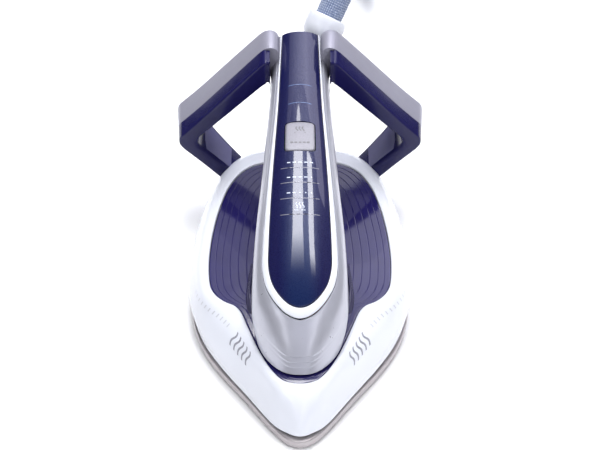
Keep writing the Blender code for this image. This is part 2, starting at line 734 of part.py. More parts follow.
def make_grip():
    rows = []
    for i in range(19):
        section = i / 1.5
        first = grip_edge(section) + 3.0
        rows.append([handle_point(section, first + (180.0 - first) * j / 6) for j in range(7)])
    grip = grid("handle_grip", rows, "dark_grip", flip=True)
    mirror_x(grip)
    solidify(grip, WALL)
    size = (TRIGGER_WIDTH + 1.4, 38.5, 16.0)
    slot = box("trigger_slot", size, grip_place(0.0, -23.0, -29.0), None, GRIP_TILT, cutter=True)
    return shade(boolean(grip, slot))


def grip_place(x, along, above):
    """A place in the handle: across, along its top line and above it, mm."""
    gx, gy, gz = GRIP_ORIGIN
    y = gy + along * math.cos(GRIP_TILT) - above * math.sin(GRIP_TILT)
    z = gz + along * math.sin(GRIP_TILT) + above * math.cos(GRIP_TILT)
    return vec(gx + x, y, z)


def grip_box(name, size, along, above, slot, x=0.0, edge=0.0):
    """A block in the handle's own directions; one with no material is a cutter."""
    return box(name, size, grip_place(x, along, above), slot, GRIP_TILT, edge, cutter=slot is None)


def grip_normal():
    return (0.0, -math.sin(GRIP_TILT), math.cos(GRIP_TILT))


def coil_spring(name, radius, wire, turns, foot, length, slot):
    """A helical spring standing on foot, along the handle's normal."""
    up = Vector(grip_normal())
    side = Vector((1.0, 0.0, 0.0))
    other = up.cross(side)
    steps = 10
    route = []
    for i in range(int(turns * steps) + 1):
        turn = 2 * math.pi * i / steps
        rise = up * mm(length * i / (turns * steps))
        route.append(foot + rise + (side * math.cos(turn) + other * math.sin(turn)) * mm(radius))
    return tube(name, route, wire, slot)


def make_button():
    width, length = BUTTON_SIZE
    top = 0.5
    body = grip_box("steam_button", (width, length, 4.2), BUTTON_PLACE, top - 2.1, "button_silver",
                    edge=0.9)
    flange = grip_box("button_flange", (width + 2.2, length + 2.2, 1.0), BUTTON_PLACE, -4.2, None)
    boolean(body, flange, "UNION")
    stem = rod("button_stem", 2.0, 5.0, grip_place(0.0, BUTTON_PLACE, -6.0), None, grip_normal(), 12,
               cutter=True)
    boolean(body, stem, "UNION")
    grip_box("button_switch", (6.0, 6.0, 3.3), BUTTON_PLACE, BOARD_TOP + GAP + 1.65, "inner_plastic")
    foot = grip_place(0.0, BUTTON_PLACE, BOARD_TOP + 0.8)
    coil_spring("button_spring", 5.4, 0.4, 4, foot, 7.9, "spring_steel")
    return body


def make_inner_frame():
    grip_box("control_board", (18.0, 72.0, 1.6), 3.0, BOARD_TOP - 0.8, "board_green")
    grip_box("light_guide", (17.0, 36.0, 3.0), -17.0, -8.6, "clear_guide", edge=0.5)
    frame = grip_box("inner_frame", (18.0, 86.0, 2.0), 1.0, FRAME_TOP - 1.0, "inner_plastic")
    along, above = TRIGGER_PIN
    for side, word in ((-1, "left"), (1, "right")):
        ear = grip_box(f"frame_ear_{word}", (1.8, 7.0, 10.4), along, above + 2.2, None, x=side * 8.4)
        boolean(frame, ear, "UNION")
    tool = rod("frame_pin_hole", 1.8, 40.0, grip_place(0.0, along, above), None, (1, 0, 0), 12,
               cutter=True)
    return boolean(frame, tool)


def make_trigger():
    along, above = TRIGGER_PIN
    trigger = grip_box("steam_trigger", (TRIGGER_WIDTH, 34.0, 8.0), along + 14.5, above - 5.6,
                       "button_silver", edge=1.2)
    barrel = rod("trigger_barrel", 3.2, TRIGGER_WIDTH, grip_place(0.0, along, above), None,
                 (1, 0, 0), 16, cutter=True)
    boolean(trigger, barrel, "UNION")
    bore = rod("trigger_bore", 1.8, 40.0, grip_place(0.0, along, above), None, (1, 0, 0), 12,
               cutter=True)
    boolean(trigger, bore)
    rod("trigger_pin", 1.45, 20.0, grip_place(0.0, along, above), "spring_steel", (1, 0, 0), 12)
    grip_box("trigger_switch", (6.0, 10.0, 2.6), along + 29.0, FRAME_TOP - 2.0 - GAP - 1.3,
             "inner_plastic")
    foot = grip_place(0.0, along + 17.0, above - 1.6 + GAP + 0.4)
    coil_spring("trigger_spring", 2.6, 0.4, 3, foot, 4.4, "spring_steel")
    return trigger


# ---------------------------------------------------------------- heel ring
def heel_point(x, height, depth):
    """A place in the heel ring: across, up its plane and back from its front face, mm."""
    y = HEEL_FOOT[0] - height * math.sin(HEEL_TILT) + depth * math.cos(HEEL_TILT)
    z = HEEL_FOOT[1] + height * math.cos(HEEL_TILT) + depth * math.sin(HEEL_TILT)
    return vec(x, y, z)


def wing_ring(station, side, corners):
    """One cross-section of a wing. Corners are (across, back): 0 outer, 1 inner face."""
    ox, oh, ix, ih, flare, depth = station
    ring = []
    for across, back in corners:
        d = depth if back is None else back
        spread = flare * (d / depth) * (1.0 - across)
        x = ox + (ix - ox) * across + spread
        h = oh + (ih - oh) * across + spread * 0.3
        ring.append(heel_point(side * x, h, d))
    return ring


def wing_solid(name, side, grow):
    """The whole section of a wing's lower arm, grown on all sides, as a cutter."""
    rings = []
    for station in WING_STATIONS[-4:]:
        ox, oh, ix, ih, flare, depth = station
        size = math.hypot(ix - ox, ih - oh)
        ux, uh = (ix - ox) / size * grow, (ih - oh) / size * grow
        wide = (ox - ux + flare, oh - uh, ix + ux, ih + uh, 0.0, depth)
        rings.append(wing_ring(wide, side, ((0.0, -grow), (0.0, depth + grow), (1.0, depth + grow),
                                            (1.0, -grow))))
    end = rings[-1]
    step = Vector((-side * mm(grow), 0.0, -mm(grow)))
    rings[-1] = [point + step for point in end]
    return loft(name, rings, None, cutter=True)


def make_wings():
    for side, word in ((-1, "left"), (1, "right")):
        outer = []
        inner = []
        for station in WING_STATIONS:
            ox, oh, ix, ih = station[:4]
            half_gap = GAP / 2 / math.hypot(ix - ox, ih - oh)
            seam = 0.5
            outer.append(wing_ring(station, side, (
                (0.0, HEEL_SPLIT + GAP), (0.0, None), (seam - half_gap, None),
                (seam - half_gap, HEEL_SPLIT + GAP))))
            inner.append(wing_ring(station, side, (
                (0.0, 0.0), (0.0, HEEL_SPLIT), (seam + half_gap, HEEL_SPLIT),
                (seam + half_gap, None), (1.0, None), (1.0, 0.0))))
        shade(loft(f"heel_outer_shell_{word}", outer, "grey_shell"))
        shade(loft(f"heel_inner_frame_{word}", inner, "navy_shell"))


# ---------------------------------------------------------------- rear housing and cord outlet
def housing_ring(y, low, high, half_width, count=20, power=3.0):
    ring = []
    for i in range(count):
        angle = 2 * math.pi * i / count
        c, s = math.cos(angle), math.sin(angle)
        x = math.copysign(abs(s) ** (2 / power), s) * half_width
        z = (low + high) / 2 + math.copysign(abs(c) ** (2 / power), c) * (high - low) / 2
        ring.append(vec(x, y, z))
    return ring


def collar_place(back):
    """A point on the cord outlet's axis, back mm below the collar's rim."""
    return vec(*COLLAR_TOP) - Vector(COLLAR_AXIS).normalized() * mm(back)


def make_rear_housing():
    rings = [housing_ring(106.8, 86.0, 111.0, 15.8), housing_ring(113.0, 85.0, 106.8, 15.8),
             housing_ring(118.5, 86.0, 103.2, 14.6), housing_ring(121.0, 89.0, 100.4, 11.6)]
    housing = loft("rear_housing", rings, "white_plastic")
    rings = [housing_ring(104.0, 88.4, 108.6, 13.4), housing_ring(112.0, 87.6, 104.6, 13.4),
             housing_ring(117.6, 89.0, 100.8, 11.6)]
    hollow = loft("housing_hollow", rings, None, cutter=True)
    boolean(housing, hollow)
    profile = ((0.0, 6.0), (12.4, 6.0), (12.4, -12.2), (10.4, -15.6), (9.0, -20.0), (0.0, -20.0))
    tool = turned("collar_cut", profile, collar_place(0.0), None, COLLAR_AXIS, cutter=True)
    apply_modifiers(tool)
    boolean(housing, tool)
    return shade(housing)


def make_cord_outlet():
    profile = ((9.8, 0.0), (11.3, -1.2), (11.6, -4.5), (11.5, -10.0), (9.9, -13.4), (7.6, -15.6),
               (7.6, -16.6), (3.4, -16.6), (3.4, -2.6), (8.5, -2.6), (8.5, 0.0))
    turned("cord_collar", profile, collar_place(0.0), "white_plastic", COLLAR_AXIS, steps=24)
    profile = ((7.2, -17.0), (7.2, -18.6), (3.6, -18.6), (3.6, -17.0))
    turned("swivel_retainer", profile, collar_place(0.0), "inner_plastic", COLLAR_AXIS, steps=16)


# ---------------------------------------------------------------- inside wiring and pipe
def make_routes():
    ix, iy = STEAM_INLET
    pipe = [collar_place(19.4), grip_place(8.8, 99.0, -17.0), grip_place(10.0, 82.0, -17.0),
            grip_place(11.6, 50.0, -17.0), grip_place(13.8, 25.0, -17.0), grip_place(14.8, -10.0, -17.0),
            grip_place(15.0, -35.0, -18.0), vec(14.0, -52.0, 54.0), vec(11.0, -60.0, 44.0),
            vec(7.4, -57.0, 36.0), vec(ix, iy, 31.0), vec(ix, iy, 26.8)]
    pipe = [tuple(point) for point in pipe]
    tube("steam_tube", [Vector(p) for p in even_samples(pipe, 34)], 2.6, "silicone")
    wires = [grip_place(-8.0, 96.2, -17.0), grip_place(-10.0, 82.0, -17.0),
             grip_place(-11.8, 50.0, -17.0), grip_place(-14.0, 25.0, -17.0),
             grip_place(-15.0, -10.0, -17.0), grip_place(-15.2, -35.0, -18.0),
             vec(-14.0, -52.0, 54.0), vec(-9.0, -62.0, 44.0), vec(-6.0, -60.0, 34.0),
             vec(-6.0, -60.0, 30.9)]
    wires = [tuple(point) for point in wires]
    tube("wire_harness", [Vector(p) for p in even_samples(wires, 28)], 2.2, "grey_rubber")
    box("base_connector", (6.0, 6.0, 6.0), vec(-6.0, -60.0, 27.0), "inner_plastic", edge=0.5)
    grip_box("terminal_block", (12.0, 8.0, 8.0), 102.0, -17.8, "inner_plastic", x=-6.0, edge=0.6)


# ---------------------------------------------------------------- sculpted ribs beside the column
def make_fairings():
    """A low rib that sweeps along each side of the nose column, on the base cover."""
    for side, word in ((-1, "left"), (1, "right")):
        rings = []
        for x, y, width, height in RIB_STATIONS:
            low = cover_height(y) + 0.4
            rings.append([vec(side * (x - width), y, low), vec(side * (x + width), y, low),
                          vec(side * (x + width * 0.3), y, low + height),
                          vec(side * (x - width * 0.6), y, low + height)])
        shade(loft(f"column_rib_{word}", rings, "silver_plastic"))


# ---------------------------------------------------------------- hose, hank and its end
def arc_points(centre_y, radius, first, last, steps):
    """Points (x, y) on a circle about (0, centre_y), by angle in degrees."""
    out = []
    for i in range(steps + 1):
        angle = math.radians(first + (last - first) * i / steps)
        out.append((radius * math.cos(angle), centre_y + radius * math.sin(angle)))
    return out


def make_hose():
    route = even_samples(HOSE_ROUTE, 28)
    tube("steam_hose", [Vector(p) for p in route], HOSE_DIAMETER / 2, "hose_textile", sides=2)


def make_hank():
    """The folded length: a ring with straight sides, open where the hose comes in."""
    far = HANK_RADIUS + HOSE_DIAMETER / 2
    near = HANK_RADIUS - HOSE_DIAMETER / 2
    mouth = 360.0 - math.degrees(math.asin((HANK_FRONT - HANK_MOUTH) / far))
    outer = [(far, HANK_MOUTH)] + arc_points(HANK_REAR, far, 0.0, 180.0, 24)
    outer += arc_points(HANK_FRONT, far, 180.0, mouth, 20)
    inner = arc_points(HANK_REAR, near, 0.0, 180.0, 20) + arc_points(HANK_FRONT, near, 180.0, 360.0, 20)
    data = bpy.data.curves.new("steam_hose_hank", "CURVE")
    data.dimensions = "2D"
    data.fill_mode = "BOTH"
    data.extrude = mm(HANK_HEIGHT) / 2
    for ring in (outer, inner):
        spline = data.splines.new("POLY")
        spline.points.add(len(ring) - 1)
        for target, (x, y) in zip(spline.points, ring):
            target.co = (mm(x), mm(y), 0.0, 1.0)
        spline.use_cyclic_u = True
    item = bpy.data.objects.new("steam_hose_hank", data)
    bpy.context.scene.collection.objects.link(item)
    item.location.z = mm(HANK_HEIGHT) / 2
    adopt(item, "steam_hose_hank", "hose_textile")
    bpy.context.view_layer.update()
    return curve_to_mesh(item)


def make_tail():
    """The hose's last stretch, round the front of the hank and on top of it."""
    arc = arc_points(HANK_FRONT, HANK_RADIUS, 180.0, 350.0, 10)
    points = [(mm(x), mm(y), mm(TAIL_HEIGHT)) for x, y in arc]
    x, y, z = END_PLACE
    points.append((mm(x), mm(y - 10.0), mm(z - 1.0)))
    points.append((mm(x), mm(y - GAP), mm(z)))
    route = even_samples(points, 16)
    tube("steam_hose_tail", [Vector(p) for p in route], HOSE_DIAMETER / 2, "hose_textile", sides=2)


def make_hank_clip():
    """A rubber clip that snaps over the hank from above, on its right side."""
    high = HANK_HEIGHT + GAP
    half = HOSE_DIAMETER / 2 + GAP
    thick = 1.8
    x, y = HANK_RADIUS, CLIP_PLACE
    outside = box("hank_clip", (2 * (half + thick), 12.0, high + thick - 4.0),
                  vec(x, y, (high + thick + 4.0) / 2), "grey_rubber", edge=0.6)
    inside = box("clip_room", (2 * half, 20.0, high + 10.0), vec(x, y, (high - 10.0) / 2), None,
                 cutter=True)
    return boolean(outside, inside)


def make_hose_end():
    """Sleeve, flange and nipple of the hose's appliance end, lying on the hank."""
    place = vec(*END_PLACE)
    axis = (0.0, 1.0, 0.0)
    sleeve = ((10.2, 30.0), (10.8, 27.0), (10.2, 8.0), (9.2, 0.0), (8.3, 0.0), (8.3, 24.0), (3.8, 24.0),
              (3.8, 30.0))
    turned("hose_end_sleeve", sleeve, place, "white_plastic", axis, steps=20)
    flange = ((10.8, 34.8), (11.0, 34.0), (11.0, 31.0), (10.6, 30.3), (3.8, 30.3), (3.8, 34.8))
    turned("hose_end_flange", flange, place, "white_plastic", axis, steps=20)
    nipple = ((2.6, 50.0), (3.2, 49.4), (3.2, 45.6), (2.6, 45.0), (3.2, 44.4), (3.4, 26.0), (1.6, 26.0),
              (1.6, 50.0))
    turned("steam_nipple", nipple, place, "brass", axis, steps=14)


def build():
    make_soleplate()
    make_casting()
    make_element()
    make_chamber_lid()
    make_heat_parts()
    make_skirt()
    make_cover()
    make_rear_bracket()
    make_handle_shell()
    make_trim()
    make_top_panel()
    make_grip()
    make_inner_frame()
    make_button()
    make_trigger()
    make_wings()
    make_rear_housing()
    make_cord_outlet()
    make_routes()
    make_fairings()
    make_hose()
    make_hank()
    make_tail()
    make_hank_clip()
    make_hose_end()


build()
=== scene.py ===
"""Looks of the steam iron: fine shells, materials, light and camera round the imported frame.

Frame: the nose points along -Y, +Z is up and the sole lies on z = 0. Lengths are written in
millimetres and turned into metres by mm(), as in the part's own source.
"""
import math

import bmesh
import bpy
from mathutils import Matrix, Vector


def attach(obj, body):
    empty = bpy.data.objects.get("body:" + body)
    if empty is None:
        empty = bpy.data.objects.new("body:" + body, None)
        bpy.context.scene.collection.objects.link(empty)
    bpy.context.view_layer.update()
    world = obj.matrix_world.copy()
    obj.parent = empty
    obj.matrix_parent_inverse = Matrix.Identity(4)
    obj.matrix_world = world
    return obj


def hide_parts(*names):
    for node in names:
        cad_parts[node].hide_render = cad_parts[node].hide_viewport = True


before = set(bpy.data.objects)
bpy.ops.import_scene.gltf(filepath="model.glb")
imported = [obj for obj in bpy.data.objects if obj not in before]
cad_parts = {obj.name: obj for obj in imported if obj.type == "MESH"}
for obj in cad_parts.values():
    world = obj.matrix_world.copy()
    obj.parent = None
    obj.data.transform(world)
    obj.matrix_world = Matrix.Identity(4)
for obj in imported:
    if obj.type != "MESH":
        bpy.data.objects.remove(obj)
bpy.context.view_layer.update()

# ---------------------------------------------------------------- the part's own dimensions, mm
SOLE_THICKNESS = 5.0
SKIRT_BASE = 7.2
COVER_FRONT = (-101.0, 26.0)
COVER_REAR = (88.0, 34.0)
GRIP_ORIGIN = (0.0, 0.0, 88.0)
GRIP_TILT = math.radians(14.6)
BUTTON_PLACE = 23.9
BUTTON_SIZE = (16.2, 21.4)
TRIGGER_PIN = (-38.0, -22.4)
TRIGGER_WIDTH = 13.0
HEEL_TILT = math.radians(12.0)
HEEL_FOOT = (92.0, 10.0)
HEEL_SPLIT = 11.5
COLLAR_TOP = (16.5, 118.0, 115.8)
COLLAR_AXIS = (0.42, 0.45, 0.79)
HOSE_DIAMETER = 16.0
HANK_RADIUS = 48.0
HANK_FRONT = 424.0
HANK_REAR = 560.0
LAYER_STEP = 16.65              # from one turn of the hank to the next
HOSE_FLOOR = 8.3                # height of the hose's middle where it lies on the table
END_PLACE = (48.0, 447.0, 44.5)

SOLE_HALF = (
    (0.0, -121.0), (7.0, -118.2), (15.4, -107.6), (28.6, -86.4), (42.2, -65.5), (51.9, -46.6),
    (57.3, -28.4), (60.2, -8.0), (60.6, 10.0), (58.8, 34.0), (55.2, 58.0), (50.0, 80.0),
    (43.0, 97.0), (32.0, 109.5), (17.0, 115.0), (0.0, 116.5))
SKIRT_LOW_HALF = (
    (0.0, -119.4), (7.0, -116.4), (14.2, -109.6), (27.4, -88.4), (40.6, -67.2), (50.2, -48.6),
    (56.2, -30.4), (59.6, -9.0), (60.2, 9.0), (58.6, 33.0), (55.2, 57.0), (50.0, 79.0),
    (43.2, 96.0), (32.4, 108.4), (17.0, 113.4), (0.0, 114.6))
SKIRT_WIDE_HALF = (
    (0.0, -118.6), (7.2, -115.4), (14.8, -108.0), (28.4, -86.6), (42.0, -65.4), (52.2, -46.0),
    (58.6, -27.6), (61.3, -9.0), (61.4, 7.0), (59.9, 32.0), (56.5, 58.0), (51.5, 79.8),
    (45.2, 96.9), (33.7, 111.6), (19.0, 116.2), (0.0, 117.2))
COVER_HALF = (
    (0.0, -101.0), (7.0, -99.4), (11.6, -94.8), (16.4, -86.4), (21.8, -73.4), (26.9, -58.4),
    (30.6, -47.2), (34.2, -41.4), (40.2, -37.4), (45.0, -32.0), (48.0, -24.6), (49.3, -12.0),
    (49.5, 4.0), (48.2, 24.0), (45.2, 46.0), (40.4, 66.0), (32.6, 81.0), (21.0, 88.6),
    (0.0, 90.6))

# handle sections from heel to foot: top y, z; bottom y, z; half width; roundness power
HANDLE_SECTIONS = (
    (102.0, 114.5, 106.0, 84.0, 16.3, 2.6), (95.0, 112.7, 100.0, 83.0, 16.3, 2.6),
    (75.0, 107.5, 82.0, 79.0, 16.4, 2.6), (50.0, 101.0, 57.0, 73.0, 17.5, 2.6),
    (25.0, 94.5, 32.0, 66.5, 19.2, 2.6), (0.0, 88.0, 7.0, 60.0, 20.8, 2.6),
    (-27.0, 80.8, -19.0, 53.0, 22.9, 2.55), (-48.0, 73.2, -35.0, 48.0, 24.0, 2.4),
    (-66.0, 65.0, -42.0, 44.0, 24.6, 2.2), (-79.0, 56.4, -43.5, 39.5, 24.8, 2.0),
    (-87.0, 46.0, -43.0, 36.0, 24.6, 1.85), (-92.5, 36.5, -41.5, 33.0, 23.8, 1.7),
    (-97.0, 27.7, -40.0, 30.4, 22.4, 1.6))
GRIP_EDGE = (92.0, 92.0, 92.0, 92.0, 92.0, 92.0, 93.0, 97.0, 104.0, 111.0, 117.0, 120.0, 122.0)
PANEL_EDGE = (
    (0.0, 10.3), (1.0, 10.5), (2.0, 11.1), (3.0, 11.9), (4.0, 13.2), (5.0, 14.5), (6.0, 15.6),
    (7.0, 16.2), (7.6, 16.1), (8.15, 14.0), (8.6, 9.6), (8.87, 5.0), (8.97, 0.0))
TRIM_EDGE = (
    (0.0, 11.4), (1.0, 11.6), (2.0, 12.3), (3.0, 13.3), (4.0, 15.0), (5.0, 16.7), (6.0, 18.2),
    (7.0, 19.2), (7.62, 19.3), (8.25, 17.4), (8.8, 12.8), (9.22, 6.8), (9.39, 0.0))

# heel wing stations, with the fillet that joins the wing to the handle's side:
# outer x, height; inner x, height; flare of the rear outer edge; depth
WING_STATIONS = (
    (11.6, 98.0, 15.6, 74.0, 0.0, 29.3), (11.8, 101.6, 16.3, 80.0, 0.0, 29.3),
    (13.2, 104.6, 16.9, 85.2, 0.2, 29.3), (16.6, 106.0, 18.2, 88.6, 0.4, 29.3),
    (20.4, 104.4, 20.4, 87.4, 0.7, 29.3), (25.0, 99.1, 23.6, 84.0, 0.9, 29.3),
    (42.5, 78.2, 35.0, 71.4, 1.2, 29.3), (57.0, 60.8, 49.0, 56.4, 1.5, 29.3),
    (66.0, 50.8, 56.6, 48.6, 2.0, 29.3), (69.8, 46.8, 58.9, 45.6, 2.3, 29.3),
    (70.6, 42.6, 59.3, 42.0, 2.4, 29.0), (69.2, 39.0, 57.8, 38.8, 2.2, 28.6),
    (65.2, 34.4, 54.6, 35.0, 1.8, 28.0), (57.2, 25.5, 50.2, 30.2, 1.0, 25.0),
    (46.6, 12.9, 40.2, 18.3, 0.4, 21.5), (38.6, 3.6, 32.6, 9.2, 0.0, 20.0))
SIDES = ((-1, "left"), (1, "right"))
WING_ROOT = 4                   # the station at which the dark front frame begins

RIB_STATIONS = (
    (26.8, -47.0, 0.5, 0.8), (27.6, -42.0, 1.3, 4.0), (28.0, -35.0, 1.7, 6.4),
    (27.8, -26.0, 1.6, 5.6), (27.2, -16.0, 1.2, 3.2), (26.6, -6.0, 0.5, 0.8))

# the hose's free run from the collar to the hank, in metres
HOSE_ROUTE = (
    (0.0157, 0.1171, 0.1143), (0.0241, 0.1262, 0.1301), (0.0358, 0.1420, 0.1500),
    (0.0480, 0.1690, 0.1680), (0.0560, 0.2050, 0.1740), (0.0590, 0.2430, 0.1620),
    (0.0585, 0.2770, 0.1340), (0.0560, 0.3080, 0.0970), (0.0530, 0.3370, 0.0600),
    (0.0502, 0.3620, 0.0300), (0.0486, 0.3806, 0.0148))


# ---------------------------------------------------------------- measures and smooth lines
FINE = 24                       # steps of a smooth curve between two of its points


def mm(value):
    return value * 0.001


def vec(x, y, z):
    return Vector((mm(x), mm(y), mm(z)))


def ease(part):
    """0 to 1 with a level start and end."""
    part = min(max(part, 0.0), 1.0)
    return part * part * (3 - 2 * part)


def catmull(p0, p1, p2, p3, t):
    out = []
    for a, b, c, d in zip(p0, p1, p2, p3):
        out.append(0.5 * (2 * b + (c - a) * t + (2 * a - 5 * b + 4 * c - d) * t * t
                          + (3 * b - a - 3 * c + d) * t ** 3))
    return tuple(out)


def smooth_at(points, place):
    """The smooth curve through points, at a place counted in points."""
    last = len(points) - 1
    i = min(int(place), last - 1)
    before = points[i - 1] if i > 0 else tuple(2 * a - b for a, b in zip(points[0], points[1]))
    after = points[i + 2] if i + 2 <= last else tuple(
        2 * a - b for a, b in zip(points[last], points[last - 1]))
    return catmull(before, points[i], points[i + 1], after, place - i)


def walk(dense, count):
    """count + 1 points at equal steps along a dense line."""
    walked = [0.0]
    for a, b in zip(dense, dense[1:]):
        walked.append(walked[-1] + math.dist(a, b))
    out = []
    j = 0
    for i in range(count + 1):
        goal = walked[-1] * i / count
        while j < len(dense) - 2 and walked[j + 1] < goal:
            j += 1
        part = (goal - walked[j]) / max(walked[j + 1] - walked[j], 1e-9)
        out.append(tuple(a + (b - a) * part for a, b in zip(dense[j], dense[j + 1])))
    return out


def even_samples(points, count, fine=FINE):
    last = len(points) - 1
    return walk([smooth_at(points, i / fine) for i in range(last * fine + 1)], count)


def half_outline(points, count):
    """A half outline, nose to heel, that crosses the middle plane squarely."""
    first, second = points[0], points[1]
    last, previous = points[-1], points[-2]
    padded = [(-second[0], second[1]), *points, (-previous[0], previous[1])]
    dense = []
    for i in range(1, len(padded) - 2):
        dense += [catmull(*padded[i - 1:i + 3], k / FINE) for k in range(FINE)]
    dense.append(last)
    out = walk(dense, count)
    out[0] = (0.0, first[1])
    out[-1] = (0.0, last[1])
    return out


def inset(half, distance):
    """A half outline moved inwards by a distance, along its own normals."""
    out = []
    for i, (x, y) in enumerate(half):
        ax, ay = half[max(i - 1, 0)]
        bx, by = half[min(i + 1, len(half) - 1)]
        tx, ty = bx - ax, by - ay
        size = math.hypot(tx, ty)
        out.append((max(x - distance * ty / size, 0.0), y + distance * tx / size))
    out[0] = (0.0, half[0][1] + distance)
    out[-1] = (0.0, half[-1][1] - distance)
    return out


def chaikin(points, rounds):
    """Points of a line with its corners cut, its ends kept."""
    for _ in range(rounds):
        out = [points[0]]
        for a, b in zip(points, points[1:]):
            out.append(tuple(p * 0.75 + q * 0.25 for p, q in zip(a, b)))
            out.append(tuple(p * 0.25 + q * 0.75 for p, q in zip(a, b)))
        out.append(points[-1])
        points = out
    return points


def rounded(corners, steps=4):
    """A closed outline from corners (x, y, radius)."""
    out = []
    count = len(corners)
    for i, (x, y, radius) in enumerate(corners):
        px, py, _ = corners[i - 1]
        nx, ny, _ = corners[(i + 1) % count]
        before = math.hypot(px - x, py - y)
        after = math.hypot(nx - x, ny - y)
        r = min(radius, before * 0.48, after * 0.48)
        a = (x + (px - x) * r / before, y + (py - y) * r / before)
        b = (x + (nx - x) * r / after, y + (ny - y) * r / after)
        for k in range(steps + 1):
            t = k / steps
            out.append(((1 - t) ** 2 * a[0] + 2 * t * (1 - t) * x + t * t * b[0],
                        (1 - t) ** 2 * a[1] + 2 * t * (1 - t) * y + t * t * b[1]))
    return out


# ---------------------------------------------------------------- the object's surfaces
def cover_height(y):
    slope = (COVER_REAR[1] - COVER_FRONT[1]) / (COVER_REAR[0] - COVER_FRONT[0])
    return COVER_FRONT[1] + (y - COVER_FRONT[0]) * slope


NOSE_ROUND = 0.25               # how softly the ridge of the sharper front sections turns


def handle_point(section, angle, proud=0.0):
    """A point on the handle's outer face: section number and angle from the top, degrees."""
    ty, tz, by, bz, half_width, power = smooth_at(HANDLE_SECTIONS, section)
    sine = abs(math.sin(math.radians(angle)))
    cosine = math.cos(math.radians(angle))
    share = sine ** (2 / power) if sine > 1e-7 else 0.0
    x = half_width * share
    up = math.copysign(abs(cosine) ** (2 / power), cosine)
    if cosine > 0 and power < 2.5:
        # the ridge of the sharper front sections is rounded off
        soft = NOSE_ROUND * min((2.5 - power) / 0.5, 1.0)
        eased = (math.hypot(share, soft) - soft) / (math.hypot(1.0, soft) - soft)
        up = (1 - min(eased, 1.0) ** power) ** (1 / power)
    half_y, half_z = (ty - by) / 2, (tz - bz) / 2
    stretch = 1 + proud / math.hypot(half_y, half_z)
    return vec(x, (ty + by) / 2 + half_y * up * stretch, (tz + bz) / 2 + half_z * up * stretch)


def angle_of(section, x):
    """The angle round a section at which its upper half has the half width x."""
    half_width, power = smooth_at(HANDLE_SECTIONS, section)[4:6]
    return math.degrees(math.asin(min(x / half_width, 1.0) ** (power / 2)))


def grip_edge(section):
    return smooth_at([(value,) for value in GRIP_EDGE], section)[0]


def edge_points(edge, count, widen, advance):
    """Points (section, half width) along a panel edge, moved sideways and at its tip."""
    out = []
    beyond = list(edge) + [(edge[-2][0], -edge[-2][1])]
    for i in range(count + 1):
        section, x = smooth_at(beyond, (len(edge) - 1) * i / count)
        tip = max(section - 7.6, 0.0) / 1.8
        out.append((max(section + advance * tip, 0.0), max(x + widen, 0.0)))
    out[-1] = (out[-1][0], 0.0)
    return out


def grip_place(x, along, above):
    """A place in the handle: across, along its top line and above it, mm."""
    gx, gy, gz = GRIP_ORIGIN
    y = gy + along * math.cos(GRIP_TILT) - above * math.sin(GRIP_TILT)
    z = gz + along * math.sin(GRIP_TILT) + above * math.cos(GRIP_TILT)
    return vec(gx + x, y, z)


def heel_point(x, height, depth):
    """A place in the heel ring: across, up its plane and back from its front face, mm."""
    y = HEEL_FOOT[0] - height * math.sin(HEEL_TILT) + depth * math.cos(HEEL_TILT)
    z = HEEL_FOOT[1] + height * math.cos(HEEL_TILT) + depth * math.sin(HEEL_TILT)
    return vec(x, y, z)


def collar_place(back):
    return vec(*COLLAR_TOP) - Vector(COLLAR_AXIS).normalized() * mm(back)


# ---------------------------------------------------------------- mesh tools
MATERIALS = {}


def new_object(name, mesh):
    item = bpy.data.objects.new(name, mesh)
    bpy.context.scene.collection.objects.link(item)
    return item


def mesh_object(name, verts, faces, weld=1e-6):
    mesh = bpy.data.meshes.new(name)
    mesh.from_pydata([tuple(v) for v in verts], [], faces)
    work = bmesh.new()
    work.from_mesh(mesh)
    bmesh.ops.remove_doubles(work, verts=work.verts, dist=weld)
    bmesh.ops.dissolve_degenerate(work, edges=work.edges, dist=1e-7)
    work.to_mesh(mesh)
    work.free()
    return new_object(name, mesh)


def settle(item, angle=38.0):
    """Apply the modifiers, turn the faces outwards and shade the result."""
    graph = bpy.context.evaluated_depsgraph_get()
    graph.update()
    mesh = bpy.data.meshes.new_from_object(item.evaluated_get(graph))
    item.modifiers.clear()
    item.data = mesh
    work = bmesh.new()
    work.from_mesh(mesh)
    bmesh.ops.remove_doubles(work, verts=work.verts, dist=1e-6)
    bmesh.ops.recalc_face_normals(work, faces=work.faces)
    work.to_mesh(mesh)
    work.free()
    mesh.shade_smooth()
    mesh.set_sharp_from_angle(angle=math.radians(angle))
    return item


def grid(name, rows, flip=False):
    """An open sheet through rows of points."""
    verts = [point for row in rows for point in row]
    width = len(rows[0])
    faces = []
    for i in range(len(rows) - 1):
        for j in range(width - 1):
            a = i * width + j
            face = (a, a + 1, a + width + 1, a + width)
            faces.append(tuple(reversed(face)) if flip else face)
    return mesh_object(name, verts, faces)


def loft(name, rings):
    """A closed solid through rings of equal count, capped at both ends."""
    count = len(rings[0])
    verts = [point for ring in rings for point in ring]
    faces = [tuple(range(count))]
    for i in range(len(rings) - 1):
        for j in range(count):
            a = i * count + j
            b = i * count + (j + 1) % count
            faces.append((a, a + count, b + count, b))
    last = (len(rings) - 1) * count
    faces.append(tuple(reversed(range(last, last + count))))
    return settle(mesh_object(name, verts, faces))


def skin(name, rows, wall, flip=True, merge=0.01, angle=38.0):
    """A mirrored shell of a wall thickness, from rows on its +X half."""
    item = grid(name, rows, flip)
    mod = item.modifiers.new("mirror", "MIRROR")
    mod.use_axis = (True, False, False)
    mod.use_mirror_merge = True
    mod.merge_threshold = mm(merge)
    mod = item.modifiers.new("wall", "SOLIDIFY")
    mod.thickness = mm(wall)
    mod.offset = -1.0
    return settle(item, angle)


TURNED_STEPS = 64


